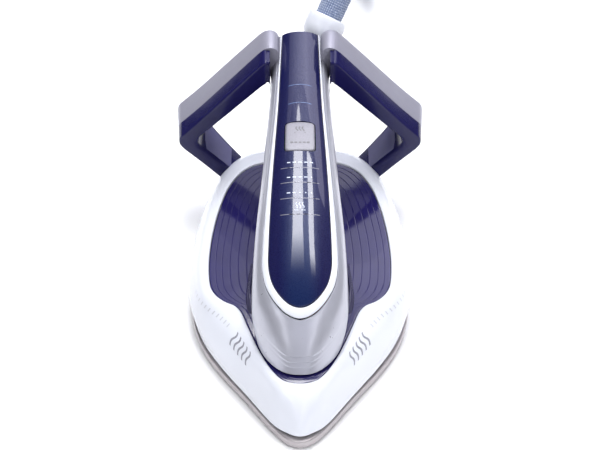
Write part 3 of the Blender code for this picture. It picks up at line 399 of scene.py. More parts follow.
def turned(name, profile, place, axis):
    """A solid of revolution from a closed or pole-to-pole profile (radius, height)."""
    turn = Vector(axis).to_track_quat("Z", "Y").to_matrix().to_4x4()
    frame_of = Matrix.Translation(place) @ turn
    closed = profile[0][0] > 1e-9
    verts = []
    for i in range(TURNED_STEPS):
        angle = 2 * math.pi * i / TURNED_STEPS
        for r, h in profile:
            verts.append(frame_of @ Vector((mm(r) * math.cos(angle), mm(r) * math.sin(angle), mm(h))))
    count = len(profile)
    faces = []
    for i in range(TURNED_STEPS):
        for j in range(count if closed else count - 1):
            low, high = i * count, (i + 1) % TURNED_STEPS * count
            k = (j + 1) % count
            faces.append((low + j, low + k, high + k, high + j))
    return settle(mesh_object(name, verts, faces))


def cut(item, tool):
    """Take a tool's shape out of a piece; the tool goes."""
    mod = item.modifiers.new("cut", "BOOLEAN")
    mod.operation = "DIFFERENCE"
    mod.solver = "EXACT"
    mod.object = tool
    bpy.context.view_layer.update()
    settle(item)
    bpy.data.objects.remove(tool, do_unlink=True)
    return item


def piece(item, body, slot, nodes=()):
    """Put a piece on a body, in place of CAD nodes, with a slot's material."""
    item.data.materials.clear()
    item.data.materials.append(MATERIALS[slot])
    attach(item, body)
    if nodes:
        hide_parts(*nodes)
    return item


# ---------------------------------------------------------------- materials
def new_node(tree, kind, values=(), **settings):
    made = tree.nodes.new(kind)
    for key, value in settings.items():
        setattr(made, key, value)
    for key, value in values:
        made.inputs[key].default_value = value
    return made


def coordinates(tree, kind="Object"):
    return new_node(tree, "ShaderNodeTexCoord").outputs[kind]


def axes(tree, source):
    """The X, Y and Z outputs of a vector."""
    split = new_node(tree, "ShaderNodeSeparateXYZ")
    tree.links.new(source, split.inputs["Vector"])
    return split.outputs


def noise(tree, size, detail=3.0, stretch=None):
    """A noise whose features are about size mm, in the object's own coordinates."""
    source = coordinates(tree)
    if stretch:
        turn = new_node(tree, "ShaderNodeMapping", (("Scale", stretch),))
        tree.links.new(source, turn.inputs["Vector"])
        source = turn.outputs["Vector"]
    made = new_node(tree, "ShaderNodeTexNoise",
                    (("Scale", 1.0 / mm(size)), ("Detail", detail), ("Roughness", 0.55)))
    tree.links.new(source, made.inputs["Vector"])
    return made.outputs[0]


def spread(tree, source, low, high, start=0.3, end=0.7):
    made = new_node(tree, "ShaderNodeMapRange",
                    (("From Min", start), ("From Max", end), ("To Min", low), ("To Max", high)))
    tree.links.new(source, made.inputs["Value"])
    return made.outputs["Result"]


def combine(tree, operation, *values):
    """A Math node; each value is a number or a socket."""
    made = new_node(tree, "ShaderNodeMath", operation=operation)
    for number, value in enumerate(values):
        if isinstance(value, (int, float)):
            made.inputs[number].default_value = value
        else:
            tree.links.new(value, made.inputs[number])
    return made.outputs[0]


def mixed(tree, source, colour_a, colour_b):
    made = new_node(tree, "ShaderNodeMix", data_type="RGBA")
    for number, colour in ((6, colour_a), (7, colour_b)):
        if isinstance(colour, tuple):
            made.inputs[number].default_value = (*colour, 1.0)
        else:
            tree.links.new(colour, made.inputs[number])
    tree.links.new(source, made.inputs[0])
    return made.outputs[2]


def bump(tree, shader, source, height, under=None):
    made = new_node(tree, "ShaderNodeBump", (("Distance", mm(height)), ("Strength", 1.0)))
    tree.links.new(source, made.inputs["Height"])
    if under is not None:
        tree.links.new(under, made.inputs["Normal"])
    tree.links.new(made.outputs["Normal"], shader.inputs["Normal"])
    return made.outputs["Normal"]


def surface_of(tree, shader, colour, rough):
    """Feed a shader's colour and roughness."""
    tree.links.new(colour, shader.inputs["Base Color"])
    tree.links.new(rough, shader.inputs["Roughness"])


def start_material(slot, metallic=0.0, coat=0.0, specular=0.5):
    made = bpy.data.materials.new(slot + "_look")
    made.use_nodes = True
    tree = made.node_tree
    shader = tree.nodes["Principled BSDF"]
    shader.inputs["Metallic"].default_value = metallic
    shader.inputs["Coat Weight"].default_value = coat
    shader.inputs["Coat Roughness"].default_value = 0.03
    shader.inputs["Specular IOR Level"].default_value = specular
    MATERIALS[slot] = made
    return tree, shader


def moulded(slot, colour, rough, mottle=0.05, mottle_size=14.0, grain=0.0, grain_size=0.4, metallic=0.0,
            coat=0.0, specular=0.5, waviness=0.0):
    """A moulded or cast surface: faint mottling, uneven gloss, fine grain and moulding waves."""
    tree, shader = start_material(slot, metallic, coat, specular)
    dark = tuple(max(c * (1 - mottle), 0.0) for c in colour)
    light = tuple(min(c * (1 + mottle), 1.0) for c in colour)
    surface_of(tree, shader,
               mixed(tree, spread(tree, noise(tree, mottle_size), 0.0, 1.0), dark, light),
               spread(tree, noise(tree, mottle_size * 0.35, 5.0), rough * 0.85, rough * 1.15))
    under = None
    if waviness:
        under = bump(tree, shader, noise(tree, 26.0, 1.0), waviness)
    if grain:
        bump(tree, shader, noise(tree, grain_size, 2.0), grain, under)
    return tree, shader


# the panel's own deep blue, the painted sheen colour of its lit middle, and the painted glint colour of its
# flakes
PANEL_EDGE_COLOUR = (0.006, 0.005, 0.050)
PANEL_SHEEN_COLOUR = (0.003, 0.012, 0.066)
PANEL_GLINT = (0.007, 0.030, 0.13)


def panel_material():
    """Deep blue under a clear gloss, with fine metal flakes; a painted sheen makes it lighter along its
    middle and towards the front, and the flakes' glints are painted as lighter cells.
    """
    tree, shader = start_material("panel_blue", metallic=0.15, coat=0.8, specular=0.3)
    source = coordinates(tree)
    place = axes(tree, source)
    # painted reflection: the middle and the front of the crown, which catch the overhead light, are mixed
    # towards the lighter sheen colour
    middle = spread(tree, combine(tree, "ABSOLUTE", place["X"]), 1.0, 0.0, mm(4.0), mm(11.5))
    front = spread(tree, place["Y"], 1.0, 0.25, mm(-45.0), mm(45.0))
    uneven = spread(tree, noise(tree, 22.0, 2.0), 0.85, 1.0)
    share = combine(tree, "MULTIPLY", combine(tree, "MULTIPLY", middle, front), uneven)
    base = mixed(tree, share, PANEL_EDGE_COLOUR, PANEL_SHEEN_COLOUR)
    flakes = new_node(tree, "ShaderNodeTexVoronoi", (("Scale", 1.0 / mm(0.18)),))
    tree.links.new(source, flakes.inputs["Vector"])
    split = new_node(tree, "ShaderNodeSeparateColor")
    tree.links.new(flakes.outputs["Color"], split.inputs["Color"])
    # painted glints: some random flake cells take the lighter glint colour
    glint = spread(tree, split.outputs["Red"], 0.0, 0.25, 0.6, 1.0)
    surface_of(tree, shader, mixed(tree, glint, base, PANEL_GLINT),
               spread(tree, split.outputs["Green"], 0.26, 0.40, 0.0, 1.0))


def sole_material():
    """A polished, coated metal with long faint scratches."""
    tree, shader = start_material("sole_metal", metallic=0.5)
    lines = noise(tree, 2.0, 2.0, stretch=(1.0, 0.02, 1.0))
    cloud = spread(tree, noise(tree, 18.0), 0.0, 1.0)
    surface_of(tree, shader, mixed(tree, cloud, (0.46, 0.425, 0.435), (0.50, 0.465, 0.475)),
               spread(tree, lines, 0.32, 0.44))
    bump(tree, shader, lines, 0.0008)


COVER_RISE = 130.0              # mm of rise in each metre


def cover_material():
    """Dark blue gloss whose shading rises a little more to the rear than its flat shape does."""
    tree, shader = moulded("navy_cover", (0.013, 0.010, 0.080), 0.10, mottle=0.10,
                           mottle_size=20.0, coat=0.2)
    risen = bump(tree, shader, axes(tree, coordinates(tree))["Y"], COVER_RISE)
    bump(tree, shader, noise(tree, 22.0, 1.5), 0.05, risen)


BOARD_COLOURS = {"Color1": (0.02, 0.17, 0.07), "Color2": (0.02, 0.14, 0.06),
                 "Mortar": (0.05, 0.30, 0.12)}


def board_material():
    """A circuit board: darker tracks on green lacquer."""
    tree, shader = start_material("board_green", coat=0.5)
    tracks = new_node(tree, "ShaderNodeTexBrick", (("Scale", 1.0 / mm(4.0)), ("Mortar Size", 0.06)))
    tree.links.new(coordinates(tree), tracks.inputs["Vector"])
    for name, colour in BOARD_COLOURS.items():
        tracks.inputs[name].default_value = (*colour, 1.0)
    surface_of(tree, shader, tracks.outputs["Color"], spread(tree, noise(tree, 6.0), 0.35, 0.5))


def guide_material():
    tree, shader = start_material("clear_guide")
    shader.inputs["Transmission Weight"].default_value = 0.8
    surface_of(tree, shader, mixed(tree, noise(tree, 9.0), (0.80, 0.84, 0.88), (0.90, 0.93, 0.95)),
               spread(tree, noise(tree, 3.0), 0.12, 0.28))


def hose_material():
    """A braided sleeve: two sets of yarns that pass over and under each other, with painted shade in the
    gaps between them.
    """
    tree, shader = start_material("hose_textile", specular=0.3)
    shader.inputs["Sheen Weight"].default_value = 0.35
    shader.inputs["Sheen Roughness"].default_value = 0.4
    uv = new_node(tree, "ShaderNodeUVMap", uv_map="braid")
    place = axes(tree, uv.outputs["UV"])
    floors = []
    heights = []
    for operation in ("ADD", "SUBTRACT"):
        set_of = combine(tree, operation, place["X"], place["Y"])
        floors.append(combine(tree, "FLOOR", set_of))
        part = combine(tree, "FRACT", set_of)
        heights.append(combine(tree, "SINE", combine(tree, "MULTIPLY", part, math.pi)))
    over = combine(tree, "FLOORED_MODULO", combine(tree, "ADD", *floors), 2.0)
    height_one, height_two = heights
    difference = combine(tree, "SUBTRACT", height_two, height_one)
    height = combine(tree, "MULTIPLY_ADD", difference, over, height_one)
    fleck = noise(tree, 1.1, 3.0)
    light = mixed(tree, spread(tree, fleck, 0.0, 1.0, 0.35, 0.65), (0.31, 0.38, 0.55), (0.54, 0.61, 0.78))
    dark = mixed(tree, spread(tree, fleck, 0.0, 1.0, 0.4, 0.7), (0.16, 0.21, 0.38), (0.31, 0.38, 0.56))
    yarn = mixed(tree, over, light, dark)
    # painted shade: the colour darkens to a deep blue towards the low gaps between the yarns, where they
    # would shade each other
    painted_gap_shade = spread(tree, height, 0.0, 1.0, 0.0, 0.75)
    surface_of(tree, shader, mixed(tree, painted_gap_shade, (0.05, 0.07, 0.15), yarn),
               spread(tree, fleck, 0.55, 0.8))
    bump(tree, shader, height, 0.35)


def make_materials():
    moulded("white_plastic", (0.72, 0.74, 0.80), 0.20, mottle=0.012, mottle_size=40.0, grain=0.0015,
            grain_size=0.5, waviness=0.010)
    cover_material()
    moulded("navy_shell", (0.010, 0.009, 0.062), 0.20, mottle=0.08, mottle_size=16.0, specular=0.3,
            waviness=0.012)
    moulded("silver_plastic", (0.475, 0.48, 0.54), 0.32, mottle=0.02, mottle_size=9.0, metallic=0.45)
    moulded("grey_shell", (0.30, 0.295, 0.36), 0.36, mottle=0.015, mottle_size=9.0, metallic=0.2)
    # painted reflection: a plate lighter than the navy frame, for the light that the lower arms' inner
    # faces reflect
    moulded("inlay_plate", (0.095, 0.092, 0.20), 0.35, mottle=0.04, mottle_size=9.0)
    moulded("rib_shell", (0.085, 0.08, 0.15), 0.22, mottle=0.04, mottle_size=6.0, metallic=0.4, coat=0.3)
    moulded("button_silver", (0.222, 0.218, 0.25), 0.42, mottle=0.07, mottle_size=0.7, grain=0.004,
            grain_size=0.35, metallic=0.3)
    moulded("dark_grip", (0.020, 0.020, 0.045), 0.55, mottle=0.08, mottle_size=6.0, grain=0.02,
            grain_size=0.5)
    moulded("cast_metal", (0.42, 0.42, 0.43), 0.45, mottle=0.10, mottle_size=3.0, grain=0.03,
            grain_size=0.8, metallic=1.0)
    moulded("inner_plastic", (0.12, 0.12, 0.125), 0.5, mottle=0.06, grain=0.008)
    moulded("spring_steel", (0.55, 0.55, 0.57), 0.25, mottle=0.05, mottle_size=2.0, metallic=1.0,
            grain=0.001, grain_size=0.2)
    moulded("insulation", (0.62, 0.58, 0.48), 0.85, mottle=0.15, mottle_size=1.5, grain=0.05,
            grain_size=0.4)
    moulded("silicone", (0.60, 0.20, 0.14), 0.45, mottle=0.06, mottle_size=4.0, grain=0.004)
    moulded("grey_rubber", (0.10, 0.105, 0.115), 0.65, mottle=0.10, mottle_size=4.0, grain=0.01,
            grain_size=0.3)
    moulded("brass", (0.66, 0.48, 0.20), 0.28, mottle=0.06, mottle_size=3.0, metallic=1.0,
            grain=0.002, grain_size=0.3)
    moulded("seam_dark", (0.012, 0.012, 0.03), 0.5, mottle=0.05, grain=0.002)
    moulded("line_silver", (0.20, 0.20, 0.24), 0.40, mottle=0.05, mottle_size=0.8, metallic=0.3,
            grain=0.002, grain_size=0.3)
    moulded("mark_white", (0.62, 0.68, 0.80), 0.5, mottle=0.06, mottle_size=0.8, grain=0.002)
    moulded("mark_grey", (0.27, 0.27, 0.31), 0.5, mottle=0.08, mottle_size=0.8, grain=0.002)
    moulded("mark_faint", (0.52, 0.53, 0.57), 0.5, mottle=0.05, mottle_size=0.8, grain=0.002)
    moulded("button_mark", (0.13, 0.13, 0.14), 0.5, mottle=0.08, mottle_size=0.8, grain=0.002)
    moulded("panel_arc", (0.10, 0.16, 0.34), 0.3, mottle=0.05, grain=0.002)
    panel_material()
    sole_material()
    board_material()
    guide_material()
    hose_material()


# ---------------------------------------------------------------- camera, light and floor
CAMERA_TILT = math.radians(35.2)
CAMERA_DISTANCE = 0.9
CAMERA_AIM = 0.052              # height that it looks at, over the origin
FLOOR_HALF = 6.0
WHITE = (1.0, 1.0, 1.0)
COLD_WHITE = (0.97, 0.98, 1.0)
HORIZON_COLOUR = (0.34, 0.35, 0.38, 1.0)
CEILING_COLOUR = (0.04, 0.045, 0.06, 1.0)
SKY_TINT = (0.88, 0.89, 1.06)
# brightness of the sky between the two, by the height of its direction
SKY_STOPS = ((0.08, 0.30), (0.24, 0.40), (0.36, 0.95), (0.83, 1.00), (0.885, 0.08))
# the windows' reflections in the top panel: place across, width, near end and faded share
WINDOW_FAR = 0.575
WINDOW_GLOW = 14.5
LIGHT_HEIGHT = 1.15
WINDOWS = (("left", -0.045, 0.170, -0.16, 0.50), ("right", 0.232, 0.140, -0.20, 0.34))
STRIPS = (("left", (-0.58, -0.76, 0.62), 3.6), ("right", (0.46, -0.80, 0.64), 3.2))
# lights that no gloss shows: place, aim, size, power in watts and colour
SOFT_LIGHTS = (
    ("key", (-0.4, -0.3, 1.9), (0.0, 0.05, 0.0), (1.8, 1.8), 22.0, COLD_WHITE),
    ("rear", (0.0, 1.0, 1.3), (0.0, 0.05, 0.05), (1.2, 0.8), 13.0, COLD_WHITE),
    ("fill", (0.9, -0.9, 0.9), (0.0, 0.0, 0.05), (1.2, 0.9), 6.0, WHITE))


def make_camera():
    data = bpy.data.cameras.new("camera")
    data.sensor_width = 36.0
    data.lens = 99.72
    data.clip_start = 0.01
    item = new_object("camera", data)
    item.location = (0.0, -CAMERA_DISTANCE * math.cos(CAMERA_TILT),
                     CAMERA_AIM + CAMERA_DISTANCE * math.sin(CAMERA_TILT))
    item.rotation_euler = (math.pi / 2 - CAMERA_TILT, 0.0, 0.0)
    bpy.context.scene.camera = item


def area_light(name, place, aim, size, power, colour=WHITE):
    """A soft rectangular light at place that faces aim; its second size lies along Y."""
    data = bpy.data.lights.new(name, "AREA")
    data.shape = "RECTANGLE"
    data.size, data.size_y = size
    data.energy = power
    data.color = colour
    item = new_object(name, data)
    back = (Vector(place) - Vector(aim)).normalized()
    right = Vector((0.0, 1.0, 0.0)).cross(back).normalized()
    ahead = back.cross(right)
    turn = Matrix((right, ahead, back)).transposed()
    item.matrix_world = Matrix.Translation(place) @ turn.to_4x4()
    return item


def make_world():
    """A bright horizon under a darker ceiling, darker to the sides and on the left."""
    world = bpy.data.worlds.new("studio")
    world.use_nodes = True
    tree = world.node_tree
    background = tree.nodes["Background"]
    direction = axes(tree, coordinates(tree, "Generated"))
    ramp = new_node(tree, "ShaderNodeValToRGB")
    stops = ramp.color_ramp.elements
    stops[0].position, stops[1].position = 0.0, 1.0
    stops[0].color, stops[1].color = HORIZON_COLOUR, CEILING_COLOUR
    for place, level in SKY_STOPS:
        stops.new(place).color = (*(level * part for part in SKY_TINT), 1.0)
    tree.links.new(direction["Z"], ramp.inputs["Fac"])
    beside = spread(tree, combine(tree, "ABSOLUTE", direction["X"]), 1.0, 0.24, 0.13, 0.25)
    across = spread(tree, direction["X"], 0.45, 1.0, -0.05, 0.05)
    sky = new_node(tree, "ShaderNodeVectorMath", operation="SCALE")
    tree.links.new(ramp.outputs["Color"], sky.inputs[0])
    tree.links.new(combine(tree, "MULTIPLY", beside, across), sky.inputs["Scale"])
    tree.links.new(sky.outputs["Vector"], background.inputs["Color"])
    background.inputs["Strength"].default_value = 1.0
    bpy.context.scene.world = world
    bpy.context.scene.view_settings.view_transform = "Standard"


def make_lights():
    """Two windows and a haze over the panel, strips for the sides, and soft unseen lights."""
    for name, place, width, near, faded in WINDOWS:
        middle = (place, (WINDOW_FAR + near) / 2, LIGHT_HEIGHT)
        window = glowing(f"window_{name}", middle, (place * 0.02, 0.0, 0.088),
                         (width, WINDOW_FAR - near), WINDOW_GLOW)
        grade_light(window, "Y", 0.0, 1.0, 0.0, faded, 2.2)
    glint = glowing("glint", (-0.035, 0.618, LIGHT_HEIGHT), (0.0, 0.07, 0.10), (0.085, 0.05), 9.0)
    glint.data.shape = "ELLIPSE"
    haze = glowing("haze", (0.2, 1.0, LIGHT_HEIGHT), (0.2, 0.09, 0.10), (1.5, 0.56), 2.5,
                   (0.86, 0.84, 1.0))
    grade_light(haze, "X", 0.35, 1.0, 0.30, 0.56, 1.0)
    for name, place, glow in STRIPS:
        glowing(f"strip_{name}", place, (0.0, -0.08, 0.05), (0.15, 1.0), glow, COLD_WHITE)
    for values in SOFT_LIGHTS:
        area_light(*values).visible_glossy = False


def grade_light(item, axis, low, high, start, end, power):
    """Let an area light's strength go from low to high between two places along its face."""
    item.data.use_nodes = True
    tree = item.data.node_tree
    face = new_node(tree, "ShaderNodeNewGeometry")
    place = axes(tree, face.outputs["Parametric"])
    strength = combine(tree, "POWER", spread(tree, place[axis], low, high, start, end), power)
    tree.links.new(strength, tree.nodes["Emission"].inputs["Strength"])


def glowing(name, place, aim, size, glow, colour=WHITE):
    """An area light given by its brightness, not its power."""
    return area_light(name, place, aim, size, glow * math.pi * size[0] * size[1], colour)


def make_floor():
    """A pale paper floor, just under the sole."""
    mesh = bpy.data.meshes.new("floor")
    corners = [(x * FLOOR_HALF, y * FLOOR_HALF, 0.0) for x, y in ((-1, -1), (1, -1), (1, 1), (-1, 1))]
    mesh.from_pydata(corners, [], [(0, 1, 2, 3)])
    item = new_object("floor", mesh)
    item.location.z = mm(-0.4)
    made = bpy.data.materials.new("paper")
    made.use_nodes = True
    tree = made.node_tree
    shader = tree.nodes["Principled BSDF"]
    shader.inputs["Specular IOR Level"].default_value = 0.1
    tree.links.new(mixed(tree, noise(tree, 60.0), (0.90, 0.90, 0.90), (0.93, 0.93, 0.93)),
                   shader.inputs["Base Color"])
    shader.inputs["Roughness"].default_value = 0.9
    mesh.materials.append(made)


# ---------------------------------------------------------------- hose and its end
HOSE_RINGS = 1400
HOSE_SIDES = 48
BRAIDS = 12                     # coarse braid bundles round the hose
BRAID_STEP = 0.28               # bundles passed in one ring step
YARNS = 3.0                     # yarns in a bundle
BRAID_DEPTH = 0.30              # how far a bundle stands above the gaps between them
HANK_POINTS = 78
CORD_SOLIDS = ("steam_hose", "steam_hose_hank", "steam_hose_tail")


def hank_place(walked):
    """A point of the hank's line, mm, at a distance along it from the start of its right side."""
    side = HANK_REAR - HANK_FRONT
    bend = math.pi * HANK_RADIUS
    turn = 2 * (side + bend)
    whole = math.floor(walked / turn)
    s = walked - whole * turn
    if s < side:
        x, y = HANK_RADIUS, HANK_FRONT + s
    elif s < side + bend:
        angle = (s - side) / HANK_RADIUS
        x, y = HANK_RADIUS * math.cos(angle), HANK_REAR + HANK_RADIUS * math.sin(angle)
    elif s < 2 * side + bend:
        x, y = -HANK_RADIUS, HANK_REAR - (s - side - bend)
    else:
        angle = math.pi + (s - 2 * side - bend) / HANK_RADIUS
        x, y = HANK_RADIUS * math.cos(angle), HANK_FRONT + HANK_RADIUS * math.sin(angle)
    # each turn climbs by one layer along its left side
    climb = ease((s - (side + bend - 10.0)) / (side + 14.0))
    return x, y, HOSE_FLOOR + LAYER_STEP * (whole + climb)


def hose_line():
    """The hose's own points, in metres, from the collar to its far end."""
    points = [*HOSE_ROUTE, (0.0481, 0.3960, 0.0092), (0.0480, 0.4100, mm(HOSE_FLOOR))]
    turn = 2 * (HANK_REAR - HANK_FRONT + math.pi * HANK_RADIUS)
    last = 2 * turn - 22.0
    coiled = [hank_place(last * i / HANK_POINTS) for i in range(HANK_POINTS + 1)]
    x, y, z = END_PLACE
    for back, drop in ((-12.0, 1.1), (0.0, 0.2), (10.0, 0.0), (21.5, 0.0)):
        coiled.append((x, y + back, z - drop))
    return points + [tuple(mm(value) for value in point) for point in coiled]


def braid_rings(path):
    """Rings of points round the path, proud where two bundles cross."""
    verts = []
    across = Vector((1.0, 0.0, 0.0))
    for i, point in enumerate(path):
        ahead = (path[min(i + 1, len(path) - 1)] - path[max(i - 1, 0)]).normalized()
        across = (across - ahead * across.dot(ahead)).normalized()
        other = ahead.cross(across)
        for j in range(HOSE_SIDES):
            angle = 2 * math.pi * j / HOSE_SIDES
            along, around = i * BRAID_STEP, j * BRAIDS / HOSE_SIDES
            knot = abs(math.sin(math.pi * (along + around))) * abs(math.sin(math.pi * (along - around)))
            radius = mm(HOSE_DIAMETER / 2 - BRAID_DEPTH + BRAID_DEPTH * knot)
            verts.append(tuple(point + (across * math.cos(angle) + other * math.sin(angle)) * radius))
    return verts


def make_hose():
    """The braided hose in one piece, from the collar to its far end."""
    route = even_samples(hose_line(), HOSE_RINGS, fine=FINE // 2)
    path = [Vector(p) for p in route]
    sides = HOSE_SIDES
    faces = []
    coords = []
    for i in range(len(path) - 1):
        low, high = i * sides, (i + 1) * sides
        for j in range(sides):
            k = (j + 1) % sides
            faces.append((low + j, low + k, high + k, high + j))
            for di, dj in ((0, 0), (0, 1), (1, 1), (1, 0)):
                coords.append(((i + di) * BRAID_STEP * YARNS, (j + dj) * BRAIDS * YARNS / sides))
    last = (len(path) - 1) * sides
    faces += [tuple(reversed(range(sides))), tuple(range(last, last + sides))]
    coords += [(0.0, 0.0)] * (2 * sides)
    mesh = bpy.data.meshes.new("steam_hose_braid")
    mesh.from_pydata(braid_rings(path), [], faces)
    layer = mesh.uv_layers.new(name="braid")
    layer.data.foreach_set("uv", [value for pair in coords for value in pair])
    mesh.shade_smooth()
    item = new_object("steam_hose_braid", mesh)
    piece(item, "root", "hose_textile", CORD_SOLIDS)


# the end's shapes: radius, height and rounding of each corner
SLEEVE_TOP = ((3.8, 30.0, 0.2), (10.0, 30.0, 0.8), (10.8, 27.0, 0.8))
SLEEVE_FOOT = ((10.6, 8.6, 0.3), (10.2, 8.0, 0.4), (9.2, 0.0, 0.5), (8.3, 0.0, 0.3), (8.3, 24.0, 0.3),
               (3.8, 24.0, 0.3))
SLEEVE_RIBS = 8
FLANGE_SHAPE = ((10.8, 34.8, 0.5), (11.0, 34.0, 0.3), (11.0, 31.0, 0.5), (10.6, 30.3, 0.2),
                (3.8, 30.3, 0.2), (3.8, 34.8, 0.3))


def make_hose_end():
    """The ribbed sleeve and the flange at the far end of the hose."""
    ribs = []
    for k in range(SLEEVE_RIBS):
        height = 25.0 - 2.0 * k
        ribs += [(10.7, height, 0.25), (10.1, height - 0.5, 0.25), (10.1, height - 1.5, 0.25)]
    for word, corners, steps in (("sleeve", [*SLEEVE_TOP, *ribs, *SLEEVE_FOOT], 2),
                                 ("flange", FLANGE_SHAPE, 3)):
        item = turned(f"hose_end_{word}_fine", rounded(corners, steps), vec(*END_PLACE),
                      (0.0, 1.0, 0.0))
        piece(item, "root", "white_plastic", [f"hose_end_{word}"])


# ---------------------------------------------------------------- base
BASE_WALL = 1.6                 # of the skirt and the cover
STEAM_HOLES = ((8.0, -96.0), (17.0, -82.0), (27.0, -64.0), (36.0, -45.0), (42.0, -25.0),
               (45.0, -4.0), (15.0, -60.0), (24.0, -36.0))
HOLE_SHAPE = ((1.6, 5.5), (1.6, 0.9), (2.7, -0.3))      # radius and height of its three rims
HOLE_SIDES = 20
# the sole's turned-up edge: distance inwards and height
SOLE_EDGE = ((2.6, 0.0), (1.3, 0.05), (0.7, 0.35), (0.25, 0.85), (0.0, 1.6), (0.0, 3.9), (0.12, 4.5),
             (0.45, 4.9), (0.9, SOLE_THICKNESS))
SKIRT_COLUMNS = 220
SKIRT_ROWS = 30
BREAK_STEPS = 6                 # rows in the rounded break over the lower wall
BREAK_SHARE = 0.06              # where that break ends on the upper face


def ring_at(half, height):
    ring = half + [(-x, y) for x, y in reversed(half[1:-1])]
    return [vec(x, y, height) for x, y in ring]


def make_soleplate():
    """The metal sole with its rows of steam holes."""
    half = half_outline(SOLE_HALF, 150)
    rings = []
    for drop, height in SOLE_EDGE:
        rings.append(ring_at(inset(half, drop) if drop else half, height))
    sole = loft("soleplate_fine", rings)
    verts, faces = [], []
    for x, y in STEAM_HOLES:
        for side in (-1, 1):
            start = len(verts)
            for radius, height in HOLE_SHAPE:
                verts += [vec(px, py, height) for px, py in dot(side * x, y, radius, HOLE_SIDES)]
            faces.append(tuple(start + k for k in range(HOLE_SIDES)))
            for level in range(len(HOLE_SHAPE) - 1):
                for k in range(HOLE_SIDES):
                    a = start + level * HOLE_SIDES + k
                    b = start + level * HOLE_SIDES + (k + 1) % HOLE_SIDES
                    faces.append((a, a + HOLE_SIDES, b + HOLE_SIDES, b))
            faces.append(tuple(len(verts) - 1 - k for k in range(HOLE_SIDES)))
    tool = mesh_object("steam_holes", verts, faces)
    settle(tool)
    cut(sole, tool)
    piece(sole, "root", "sole_metal", ["soleplate"])


def skirt_point(along, part, wide, rim, proud=0.0):
    """A point on the skirt: 0..1 from nose to heel, and 0..1 from its edge to the cover."""
    place = along * (len(wide) - 1)
    i = min(int(place), len(wide) - 2)
    t = place - i
    wx, wy = (a + (b - a) * t for a, b in zip(wide[i], wide[i + 1]))
    rx, ry = (a + (b - a) * t for a, b in zip(rim[i], rim[i + 1]))
    wide_height = 10.0 + 16.0 * along ** 1.3
    rim_height = cover_height(ry) + 0.7
    swell = math.sin(math.pi * part) * (2.6 + 1.4 * math.sin(math.pi * along)) + proud
    x = wx + (rx - wx) * part
    y = wy + (ry - wy) * part
    z = wide_height + (rim_height - wide_height) * math.sin(part * math.pi / 2) ** 0.9
    reach = math.hypot(x, y - 10.0)
    x += 0.25 * swell * x / reach
    y += 0.25 * swell * (y - 10.0) / reach
    return vec(x, y, z + 0.35 * swell + 0.6 * proud)


def skirt_lines():
    """The skirt's widest line and the rim that it meets the cover at."""
    wide = half_outline(SKIRT_WIDE_HALF, SKIRT_COLUMNS)
    return wide, inset(half_outline(COVER_HALF, SKIRT_COLUMNS), -0.8)


def make_skirt():
    """The white skirt, from its foot over its rounded break to the cover."""
    low = half_outline(SKIRT_LOW_HALF, SKIRT_COLUMNS)
    wide, rim = skirt_lines()
    made = []
    for i in range(SKIRT_COLUMNS + 1):
        along = i / SKIRT_COLUMNS
        row = []
        foot = vec(*low[i], SKIRT_BASE)
        first = skirt_point(along, 0.0, wide, rim)
        second = skirt_point(along, BREAK_SHARE, wide, rim)
        for k in range(BREAK_STEPS - 1):
            row.append(foot + (first - foot) * (k / BREAK_STEPS))
        # the break between the lower wall and the upper face is rounded
        start = foot + (first - foot) * ((BREAK_STEPS - 1) / BREAK_STEPS)
        for k in range(BREAK_STEPS):
            t = k / BREAK_STEPS
            row.append(start * (1 - t) ** 2 + first * 2 * t * (1 - t) + second * t * t)
        for k in range(SKIRT_ROWS + 1):
            part = BREAK_SHARE + (1 - BREAK_SHARE) * k / SKIRT_ROWS
            row.append(skirt_point(along, part, wide, rim))
        # the rim rolls over and down to the cover
        top = row[-1]
        inward = (row[-1] - row[-2]).normalized()
        for across, drop in ((0.35, 0.10), (0.62, 0.42), (0.68, 1.6)):
            row.append(top + inward * mm(across) - Vector((0, 0, mm(drop))))
        if i in (0, SKIRT_COLUMNS):
            for point in row:
                point.x = 0.0
        made.append(row)
    item = skin("base_skirt_fine", made, BASE_WALL)
    piece(item, "root", "white_plastic", ["base_skirt"])


def towards_column(x, y, distance):
    """A point of the cover moved level towards the column's foot, no further than its side."""
    low, high, radius = COLUMN_FOOT
    centre = min(max(y, low), high)
    reach = math.hypot(x, y - centre)
    kept = max(reach - distance, min(radius, reach))
    return x * kept / reach, centre + (y - centre) * kept / reach


COLUMN_FOOT = (-74.0, 60.0, 21.5)   # the foot's ends on the middle line, and its radius
COVER_COLUMNS = 260
# distances inwards from the cover's edge, with their drops
COVER_EDGE = ((0.0, 1.4), (0.0, 0.5), (0.12, 0.12), (0.5, 0.0), (0.8, 0.0))
GROOVES = (3.4, 7.0, 11.3, 15.8, 20.4)
GROOVE_SHAPE = ((-0.42, 0.0), (-0.24, 0.0), (-0.12, 0.06), (0.0, 0.09), (0.12, 0.06), (0.24, 0.0),
                (0.42, 0.0))


def make_cover():
    """The dark cover, with fine contour grooves that follow its edge."""
    half = half_outline(COVER_HALF, COVER_COLUMNS)
    steps = list(COVER_EDGE)
    for place in GROOVES:
        steps += [(place + offset, drop) for offset, drop in GROOVE_SHAPE]
    steps += [(24.0, 0.0), (30.0, 0.0)]
    rows = []
    for distance, drop in steps:
        row = []
        for x, y in half:
            nx, ny = towards_column(x, y, distance)
            row.append(vec(nx, ny, cover_height(ny) - drop))
        rows.append(row)
    rows.append([vec(0.0, point.y * 1000, cover_height(point.y * 1000)) for point in rows[-1]])
    item = skin("base_cover_fine", rows, BASE_WALL, flip=False, merge=0.02, angle=50.0)
    piece(item, "root", "navy_cover", ["base_cover"])


RIB_RINGS = 40
RIB_COLUMNS = 24


